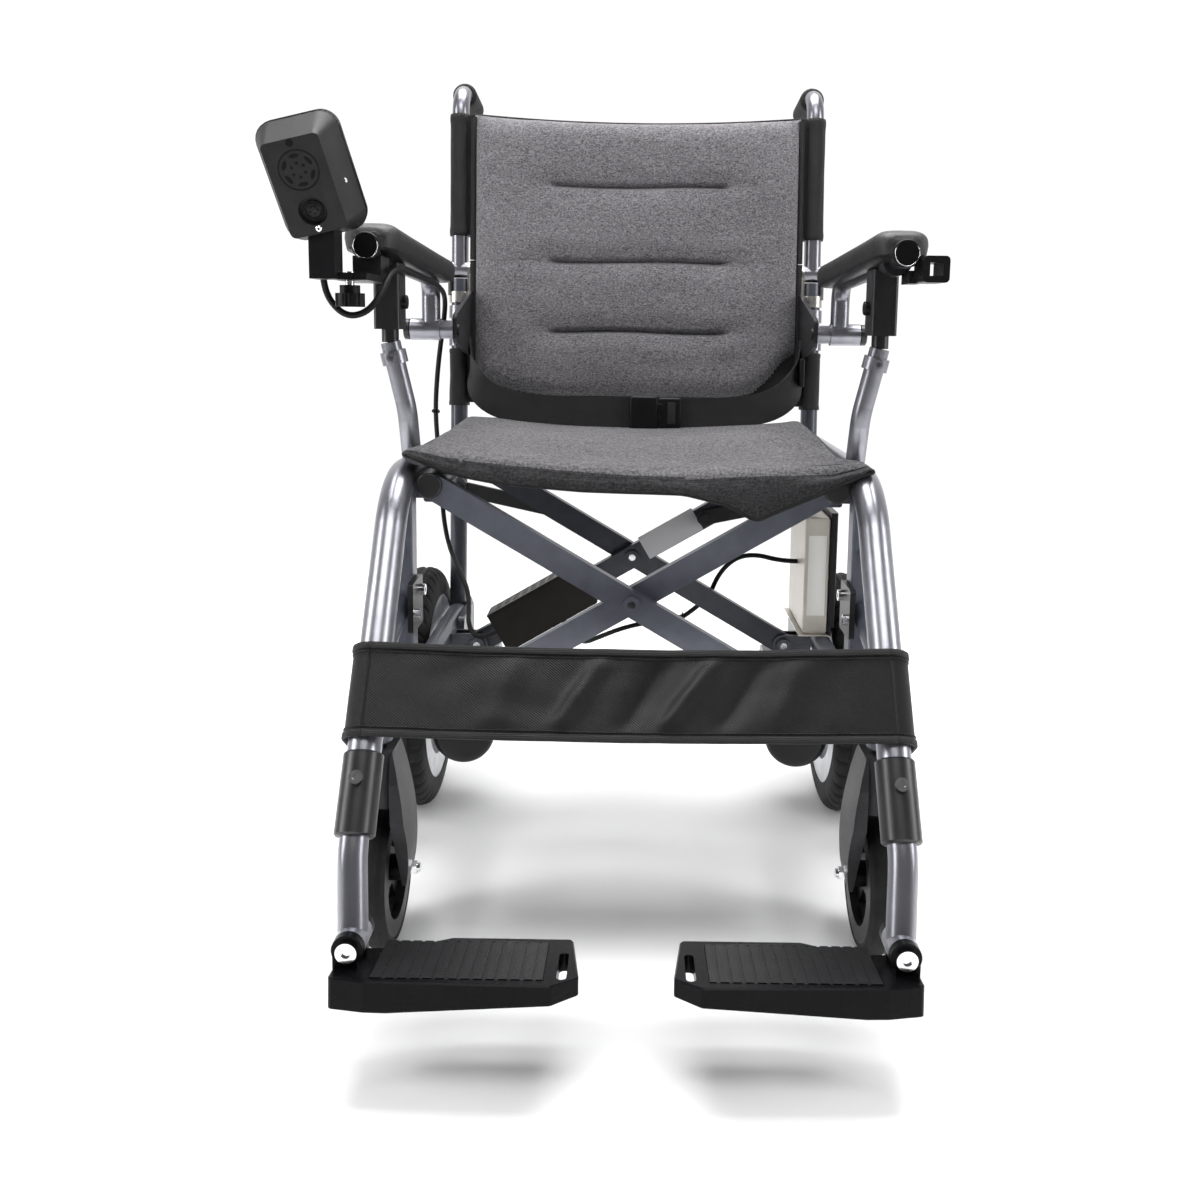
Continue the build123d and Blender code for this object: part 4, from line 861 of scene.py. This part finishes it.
def sleeve(name, low, high, side, body):
    """Fabric pocket round a cane or post, with a hem at each end."""
    rings = []
    turns = 28
    for k in range(41):
        z = low + (high - low) * k / 40
        centre = Vector((side * POST_X, post_line(z), z))
        hem = 0.0007 * (math.exp(-((k - 1.5) / 1.2) ** 2) + math.exp(-((k - 38.5) / 1.2) ** 2))
        ring_points = []
        for j in range(turns):
            a = 2 * math.pi * j / turns
            crumple = 0.0007 * noise.noise(Vector((math.cos(a) * 2, math.sin(a) * 2, z * 30 + side)))
            radius = SLEEVE_R + hem + crumple
            ring_points.append(centre + Vector((math.cos(a), 0, 0)) * radius + FRONT * math.sin(a) * radius)
        rings.append(ring_points)
    piece = loft(name, rings)
    coat(piece, "lining")
    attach(piece, body)


def post_line(z):
    return 0.255 + (z - 0.2505) * math.tan(RECLINE)


def backrest():
    upper = back_panel("back_upper", SPLIT + 0.0001, TOP_S)
    lower = back_panel("back_lower", LOW_S, SPLIT - 0.0001)
    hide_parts("back_pad_upper")
    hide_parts("back_pad_lower")
    rim = BACK_HALF + 0.0010
    tapes = {}
    for part, count, gap in (("upper", 16, 0.0122), ("lower", 13, -0.0148)):
        start = SPLIT + math.copysign(0.0008, gap)
        edges = []
        for side in (1, -1):
            line = [back_point(side * rim, 0.0095, start + k * gap) for k in range(count)]
            edges.append(edging("back_edge", line, 0.0042))
        tapes[part] = joined(f"back_binding_{part}", edges)
    top_line = [back_point(x, 0.0065, panel_top(x) + 0.0004) for x in np.linspace(-rim, rim, 25)]
    top_tape = edging("back_top_edge", top_line, 0.0016)
    for piece in (top_tape, upper, tapes["upper"]):
        gather(piece, "back_right")
    for piece in (lower, tapes["lower"]):
        gather(piece, "frame_right")
    for side, sign in SIDES:
        sleeve(f"cane_sleeve_{side}", 0.733, 0.889, sign, f"back_{side}")
        sleeve(f"post_sleeve_{side}", 0.512, 0.586, sign, f"frame_{side}")
        web(f"cane_web_{side}", 0.734, 0.888, sign, f"back_{side}")
        web(f"post_web_{side}", 0.516, 0.586, sign, f"frame_{side}")


def web(name, low, high, sign, body):
    """Cloth between a sleeve and the panel's edge."""
    inner, outer = sign * (BACK_HALF - 0.002), sign * (POST_X - 0.0105)

    def at(u, v, lift):
        s = ((low + (high - low) * v) - HINGE.z) / math.cos(RECLINE)
        x = inner + (outer - inner) * u
        return back_point(x, 0.0035 + 0.0035 * u + lift, s)
    piece = shell(name, lambda u, v: at(u, v, 0.0007), lambda u, v: at(u, v, -0.0007), 6, 30)
    coat(piece, "lining")
    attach(piece, body)


# ---- seat ----------------------------------------------------------------
SEAT_BACK, SEAT_FRONT = 0.2255, -0.1205


def seat_top(x, y):
    u = min(1.0, max(-1.0, x / 0.226))
    rear = 0.504 - 0.013 * (1 - u * u)
    front = 0.4955 - 0.0055 * u - 0.0165 * (1 - u * u)
    z = rear + (front - rear) * (1 - step(y, SEAT_FRONT, SEAT_BACK))
    z += 0.0016 * noise.noise(Vector((x * 9, y * 14, 0.4)))
    z += 0.0011 * noise.noise(Vector((x * 11, y * 60, 5.0))) * (1 - abs(u))
    seam = math.exp(-((y + 0.106) / 0.0035) ** 2)
    return z - 0.0022 * seam


FLAP_TIP = 73                       # number of the flap's lowest point in a section
FLAP = ((-0.230, 0.4945), (-0.187, 0.4755), (-0.16, 0.4690), (-0.13, 0.4635), (-0.05, 0.4575), (0.05, 0.4555),
        (0.09, 0.4460), (0.122, 0.4290), (0.150, 0.4420), (0.240, 0.4855))


def seat_half(y, sign):
    return 0.2145 + (0.0125 if sign < 0 else 0.0215) * (1 - step(y, -0.120, -0.060))


def seat_section(u):
    """Closed section of the cushion at u, from -1 on the right edge to 1 on the left."""
    sign = 1 if u > 0 else -1
    ring_points, edge = [], min(1.0, (1 - abs(u)) / 0.06)
    round_edge = math.sqrt(max(0.0, 1 - (1 - edge) ** 2))
    thick = 0.005 + 0.012 * round_edge

    def spot(y, drop):
        x = u * seat_half(y, sign)
        return Vector((x, y, seat_top(x, y) - drop + 0.0045 * (round_edge - 1)))
    for k in range(4):
        a = math.pi / 2 * k / 4
        ring_points.append(spot(SEAT_BACK - 0.006 + 0.006 * math.cos(a), thick / 2 * (1 - math.sin(a))))
    for k in range(53):
        ring_points.append(spot(SEAT_BACK - 0.006 - (SEAT_BACK - 0.006 + 0.109) * k / 52, 0.0))
    front = spot(-0.1095, 0.0)
    flap = between(front.x, FLAP)
    drop = max(0.004, front.z - flap)
    roll = min(0.010, drop * 0.45)
    for k in range(1, 7):
        a = math.pi / 2 * k / 6
        ring_points.append(Vector((front.x * (1 + 0.002 * k), -0.1095 - 0.0135 * math.sin(a),
                                   front.z - roll * (1 - math.cos(a)))))
    clear = 0.0065 * step(front.x, 0.150, 0.185)
    for k in range(1, 11):
        bulge = 0.0030 * math.sin(math.pi * k / 10) + clear * min(1, k / 3)
        fold = 0.0010 * noise.noise(Vector((front.x * 40, k * 0.12, 2)))
        ring_points.append(Vector((front.x * 1.012, -0.1230 - bulge - fold,
                                   front.z - roll - (drop - roll) * k / 10)))
    tip = ring_points[-1]
    ring_points.append(Vector((tip.x, tip.y + 0.0022, tip.z + 0.0002)))
    under = front.z - thick
    rise = max(0.0008, under - tip.z)
    for k in range(1, 8):
        ring_points.append(Vector((tip.x, tip.y + 0.0022 + (-0.1202 - tip.y - 0.0022) * k / 7,
                                   min(under, tip.z) + rise * k / 8)))
    for k in range(1, 21):
        y = -0.1195 + (SEAT_BACK - 0.002 + 0.1195) * k / 20
        base = spot(y, thick)
        rail = 0.0205 - abs(abs(base.x) - 0.202)
        floor = 0.4745 if rail > 0 else 0.0
        side_tube = 0.4865 if abs(base.x) > 0.2185 else 0.0
        ceiling = seat_top(base.x, y) - 0.002
        ring_points.append(Vector((base.x, y, min(ceiling, max(base.z, floor, side_tube)))))
    return ring_points


def seat():
    sections = [seat_section(-1 + 2 * k / 150) for k in range(151)]
    cushion = loft("seat_cushion_cover", sections)
    smooth(cushion, 60)
    inflate(cushion, 0.0012, 1.0, 12)
    coat(cushion, "seat_fabric", "lining", "seat_flap_with_shade")
    for face in cushion.data.polygons:
        c = face.center
        under = c.z < seat_top(c.x, max(c.y, -0.109)) - 0.009 and c.y > -0.1205
        # The front flap takes the darker heather copy, partly painted shade.
        flap = c.y < -0.1215 and not under
        face.material_index = 1 if under else 2 if flap else 0
    path = [seat_section(-1 + 2 * k / 60)[FLAP_TIP] + Vector((0, -0.0004, 0)) for k in range(61)]
    side_right = [seat_section(-1)[k] - Vector((0, 0, 0.003)) for k in range(6, 58, 4)]
    side_left = [seat_section(1)[k] - Vector((0, 0, 0.003)) for k in range(57, 5, -4)]
    tape = edging("seat_binding", side_right + path + side_left, 0.0026)
    stitch = [Vector((x, -0.106, seat_top(x, -0.106) + 0.0002)) for x in np.linspace(-0.205, 0.212, 60)]
    seam = edging("seat_seam", stitch, 0.0006)
    sling = shell("seat_sling", lambda u, v: sling_point(u, v, 0),
                  lambda u, v: sling_point(u, v, 0.0016), 60, 24)
    coat(sling, "lining")
    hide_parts("seat_cushion")
    for piece in (cushion, tape, seam, sling):
        gather(piece, "seat")


def sling_point(u, v, drop):
    """Under the cushion, between the insides of the seat rails."""
    half, rail_top = 0.1885, 0.4725
    x, y = (2 * u - 1) * half, -0.1035 + 0.325 * v
    edge = 1 - (x / half) ** 2
    cushion_floor = min(seat_top(x, y) - 0.019, rail_top)
    return Vector((x, y, rail_top + (cushion_floor - rail_top) * min(1, edge * 3) - drop))


# ---- straps --------------------------------------------------------------
LEAN = math.atan2(POST_CORNER[1] - POST_FOOT[1], POST_CORNER[2] - POST_FOOT[2])
ALONG_POST = Vector((0, math.sin(LEAN), math.cos(LEAN)))
OFF_POST = Vector((0, -math.cos(LEAN), math.sin(LEAN)))
STRAP_Z = 0.290
STRAP_CENTRE = Vector((0, -0.293 + (STRAP_Z - 0.237) * 0.158 / 0.231, STRAP_Z))
STRAP_R, STRAP_H = 0.0185, 0.0425


def strap_line(t):
    """The strap's line round the posts, at t metres from its middle: across, then forward."""
    if abs(t) <= POST_X:
        return t, STRAP_R
    turn = (abs(t) - POST_X) / STRAP_R
    if turn <= math.pi / 2:
        return math.copysign(POST_X + STRAP_R * math.sin(turn), t), STRAP_R * math.cos(turn)
    back = abs(t) - POST_X - STRAP_R * math.pi / 2
    return math.copysign(POST_X + STRAP_R, t), -back


# Creases across the strap: place, slant, width and height.
CREASES = ((-0.045, 0.9, 0.010, 0.0050), (0.012, 0.8, 0.011, -0.0042), (0.052, 1.1, 0.009, 0.0052),
           (0.098, 0.9, 0.012, -0.0036), (-0.112, 0.5, 0.014, 0.0030), (0.140, 0.7, 0.013, 0.0022))


def strap_point(t, v, lift=0.0):
    """A place on the strap, at v from -1 on its lower edge to 1 on its upper one."""
    x, out = strap_line(t)
    free = 1 - step(abs(t), 0.17, 0.222)
    top = step(v, 0.55, 0.85) + step(-v, 0.55, 0.85)
    folds = 0.0
    for place, slant, width, size in CREASES:
        away = t - place - slant * v * 0.028
        folds += size * math.exp(-(away / width) ** 2) * (1 - 0.55 * v * v)
    folds += 0.0016 * noise.noise(Vector((t * 24, v * 1.6, 9)))
    ease = 0.006 * (1 - (t / 0.232) ** 2) if abs(t) < 0.232 else 0
    out += (1.5 * folds * (1 - 0.8 * min(1, top)) - 0.45 * ease) * free
    up = v * STRAP_H - 0.0035 * (1 - min(1, (t / 0.232) ** 2)) * (1 if v > 0 else 0.6)
    spot = STRAP_CENTRE + OFF_POST * (out + lift) + ALONG_POST * up
    return Vector((x + (math.copysign(lift, t) if abs(t) > POST_X else 0), spot.y, spot.z))


def strap_part(name, start, end, nu):
    """The strap's cloth, hems and stitches between two places along it."""
    nv = 22
    places = [(start + (end - start) * i / nu, 2 * j / nv - 1) for j in range(nv + 1) for i in range(nu + 1)]
    cloth = mesh_object(name, [strap_point(t, v) for t, v in places], grid_faces(nu, nv), smooth=True)
    modifier(cloth, "SOLIDIFY", thickness=0.0018, offset=0)
    settled(cloth)
    smooth(cloth)
    coat(cloth, "twill")
    hems = []
    for v in (1, -1):
        path = [strap_point(t, v * 0.93, 0.0006) for t in np.linspace(start, end, nu // 2)]
        hems.append(tape_along(path, 0.0062, 0.0036))
        path = [strap_point(t, v * 0.80, 0.0012) for t in np.linspace(start, end, nu)]
        hems.append(edging("strap_stitch", path, 0.0005))
    return cloth, joined(f"{name}_binding", hems)


def calf_strap():
    """Three pieces of one strap: the middle rides the right frame, and the ends stay round the posts."""
    reach = 0.300
    cloth, hem = strap_part("calf_strap_cloth", -POST_X, POST_X, 176)
    for piece in (cloth, hem):
        gather(piece, "frame_right")
    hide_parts("calf_strap")
    for side, sign in SIDES:
        end, end_hem = strap_part(f"strap_end_{side}", sign * POST_X, sign * reach, 24)
        for piece in (end, end_hem):
            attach(piece, f"frame_{side}")


def tape_along(path, wide, thick):
    """Folded tape over a strap's edge: wide along the posts, thick forward."""
    rings = []
    for i, point in enumerate(path):
        ahead = path[min(i + 1, len(path) - 1)] - path[max(i - 1, 0)]
        out = ahead.normalized().cross(ALONG_POST).normalized()
        outline = ((-1, -0.8), (-0.7, -1), (0.7, -1), (1, -0.8), (1, 0.8), (0.7, 1), (-0.7, 1), (-1, 0.8))
        rings.append([point + out * (thick / 2 * a) + ALONG_POST * (wide / 2 * b) for a, b in outline])
    piece = loft("strap_tape", rings)
    coat(piece, "binding")
    return piece


BELT_Z = 0.5108                     # height of the belt's middle line in front of the back


def belt():
    """Two webbing halves with a side-release buckle and a slide at the left post."""
    webs = []
    half = [(0.2135, 0.262, 0.592), (0.2130, 0.246, 0.571), (0.207, 0.232, 0.549), (0.192, 0.221, 0.530),
            (0.165, 0.212, 0.517), (0.120, 0.205, 0.512)]
    for sign, ends in ((1, (0.085, 0.050)), (-1, (0.060, 0.010, -0.004))):
        path = [Vector((sign * x, y, z)) for x, y, z in half + [(x, 0.203, BELT_Z) for x in ends]]
        webs.append(ribbon("belt_half", path, 0.039, 0.0020, (0, 0, 1), samples=90))
    strap = joined("belt_webbing", webs)
    smooth(strap, 35)
    coat(strap, "belt")
    pieces = [rounded_box("buckle_body", (0.012, 0.2005, BELT_Z), (0.036, 0.010, 0.043), 0.003, "satin"),
              rounded_box("buckle_clip", (0.0445, 0.2005, BELT_Z), (0.030, 0.008, 0.040), 0.003, "satin"),
              rounded_box("buckle_window", (0.047, 0.1958, BELT_Z), (0.010, 0.0012, 0.028), 0.0004, "belt"),
              rounded_box("buckle_prong", (0.0325, 0.1962, BELT_Z), (0.006, 0.0016, 0.024), 0.0005, "gloss"),
              rounded_box("belt_slide", (0.2135, 0.236, 0.563), (0.006, 0.030, 0.036), 0.002, "satin")]
    fittings = joined("belt_fittings", pieces)
    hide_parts("seat_belt")
    for piece in (strap, fittings):
        gather(piece, "frame_right")


def rounded_box(name, centre, size, r, mat, turn=None):
    x, y, z = (s / 2 for s in size)
    corners = [(a * x, b * y, c * z) for a in (-1, 1) for b in (-1, 1) for c in (-1, 1)]
    faces = [(0, 1, 3, 2), (4, 6, 7, 5), (0, 4, 5, 1), (2, 3, 7, 6), (0, 2, 6, 4), (1, 5, 7, 3)]
    piece = outward(mesh_object(name, corners, faces))
    modifier(piece, "BEVEL", width=r, segments=3)
    settled(piece)
    if turn:
        piece.data.transform(turn)
    piece.data.transform(Matrix.Translation(centre))
    smooth(piece, 35)
    coat(piece, mat)
    return piece


# ---- armrest pads --------------------------------------------------------
def armrest_pad(side, sign):
    """Moulded pad with a crowned top, a rolled nose and a hard base."""
    low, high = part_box(f"armrest_pad_{side}")
    fall = math.tan(math.radians(2.4))
    front, rear, rings = low[1], high[1], []
    top, sections = high[2], 72
    for k in range(sections + 1):
        share = (1 - math.cos(math.pi * k / sections)) / 2
        y = front + (rear - front) * share
        tuck = min(share, 1 - share) * (rear - front)
        nose = math.sqrt(max(0.0, 1 - (1 - min(1, tuck / 0.024)) ** 2))
        wide = 0.026 * (0.42 + 0.58 * nose)
        crown_z = top - fall * (y - front) - 0.011 * (1 - nose)
        base_z = top - 0.029 - fall * (y - front) + 0.003 * (1 - nose)
        points = []
        for j in range(36):
            a = 2 * math.pi * j / 36
            px = math.copysign(abs(math.cos(a)) ** 0.55, math.cos(a)) * wide
            pz = math.copysign(abs(math.sin(a)) ** (0.75 if math.sin(a) > 0 else 0.4), math.sin(a))
            z = (crown_z + base_z) / 2 + pz * (crown_z - base_z) / 2
            if -0.75 < pz < -0.45:
                px *= 0.965
            points.append(Vector((sign * ARMREST_X + px, y, z)))
        rings.append(points)
    piece = loft(f"armrest_pad_cover_{side}", rings)
    coat(piece, "leather", "satin")
    for face in piece.data.polygons:
        level = top - 0.029 - fall * (face.center.y - front)
        face.material_index = 1 if face.center.z < level + 0.005 else 0
    inflate(piece, 0.0006, 0.8, 8)
    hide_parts(f"armrest_pad_{side}")
    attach(piece, f"armrest_{side}")


# ---- tyres ---------------------------------------------------------------
def drive_tyre(side, sign):
    """Tyre with two rows of staggered tread blocks, a centre groove and shoulder lugs."""
    centre_x, r_out, r_in, half = sign * 0.270, 0.1528, 0.1175, 0.023
    profile = []
    for k in range(33):
        a = math.pi * (k / 32)
        x = -half * math.copysign(abs(math.cos(a)) ** 0.75, math.cos(a))
        r = r_in + (r_out - r_in) * math.sin(a) ** 0.55
        profile.append((x, r))
    around, lugs, rings = 560, 46, []
    for i in range(around):
        t = i / around
        phase = (t * lugs) % 1
        turn = 2 * math.pi * t
        points = []
        for x, r in profile:
            across_share = abs(x) / half
            shift = 0.5 if x > 0 else 0.0
            local = (phase + shift + across_share * 0.35) % 1
            gap = 1 - step(abs(local - 0.5), 0.10, 0.16)
            shoulder = step(across_share, 0.30, 0.36) * (1 - step(across_share, 0.90, 0.97))
            centre = 1 - step(across_share, 0.05, 0.10)
            middle = step(across_share, 0.34, 0.38) * (1 - step(across_share, 0.44, 0.48))
            depth = 0.0024 * max(gap * shoulder, centre, 0.8 * middle)
            rr = r - (depth if r > 0.136 else 0)
            points.append(Vector((centre_x + x, AXLE_Y + rr * math.sin(turn), AXLE_Z + rr * math.cos(turn))))
        rings.append(points)
    piece = wheel_of_rings(f"drive_tyre_tread_{side}", rings)
    smooth(piece, 38)
    coat(piece, "tyre")
    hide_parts(f"drive_tyre_{side}")
    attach(piece, f"drive_{side}")


# ---- cords ---------------------------------------------------------------
CABLE_R = 0.003
# Routes in millimetres.
JOYSTICK_LEAD = [(-282.4, -217.9, 691.3), (-279.8, -213.8, 680.3), (-280, -208, 662), (-277, -203, 640),
                 (-262, -199, 624), (-244, -193, 628), (-232, -184, 646), (-229, -166, 664),
                 (-229, -132, 671), (-229, -74, 669), (-229, -16, 668), (-229.5, 42, 665), (-229, 92, 664),
                 (-229, 122, 659)]
HARNESS = [(-229, 122, 659), (-229, 146, 655), (-232, 168, 636), (-239, 182, 604), (-247, 196, 560),
           (-254, 218, 510), (-255, 240, 462), (-252, 249, 414), (-250, 247, 366), (-240, 234, 326),
           (-221, 208, 300), (-207, 176, 282), (-202, 146, 266), (-200, 124, 258), (-193, 108, 247),
           (-178, 101, 242.3), (-157.2, 101, 253.9)]
BATTERY_LEAD = [(206.9, 166, 330), (187, 166, 330), (154, 163, 339), (128, 162, 334), (108, 164, 312),
                (96, 167, 278), (66, 170, 256)]
TIED_LEAD = [(66, 170, 256), (28, 170, 249), (-8, 166, 242), (-38, 150, 234), (-58, 124, 232),
             (-71.6, 101, 249.5), (-82.5, 101, 268.2)]


def lead(name, route):
    """A cord as a mesh tube along a route."""
    path = [Vector(p) / 1000 for p in route]
    tube = edging(name, path, CABLE_R, "cable")
    line = smooth_line(path, 300)
    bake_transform(tube)
    return tube


def cords():
    joystick = lead("joystick_cord", JOYSTICK_LEAD)
    harness = lead("harness_cord", HARNESS)
    lead("battery_cord", BATTERY_LEAD)
    lead("tied_cord", TIED_LEAD)
    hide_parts("joystick_lead")
    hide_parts("harness")
    ties = (("tie_post", (-0.2535, 0.2185, 0.508), (-0.2, 0.5, -1.2), "frame_right"),
            ("tie_arm", (0.0655, 0.170, 0.256), (-1, 0, -0.2), "cross_b"))
    for name, at, along, body in ties:
        band = ring(name, at, along, 0.0042, 0.0012, "satin", sides=24)
        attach(band, body)


# ---- small trim ----------------------------------------------------------
def trim():
    for side, sign in SIDES:
        mouth = (sign * ARMREST_X, -0.1869, 0.6882)
        chrome = ring(f"cap_ring_{side}", mouth, (0, -1, 0.04), 0.0112, 0.00042, "chrome")
        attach(chrome, f"armrest_{side}")
    tilt = Matrix.Rotation(-math.atan2(0.229, 0.390), 4, "Y")
    tag = rounded_box("blank_tag", (0.046, 0.1193, 0.3715), (0.074, 0.0008, 0.0300), 0.0003, "tag", tilt)
    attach(tag, "cross_a")
    size = (0.0215, 0.0006, 0.098)
    label = rounded_box("battery_label", (0.2220, 0.1038, 0.325), size, 0.0002, "label")
    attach(label, "frame_left")


finish_frame()
joystick_details()
backrest()
seat()
calf_strap()
belt()
for side, sign in SIDES:
    armrest_pad(side, sign)
    drive_tyre(side, sign)
cords()
trim()
camera()
studio()
bpy.context.view_layer.update()
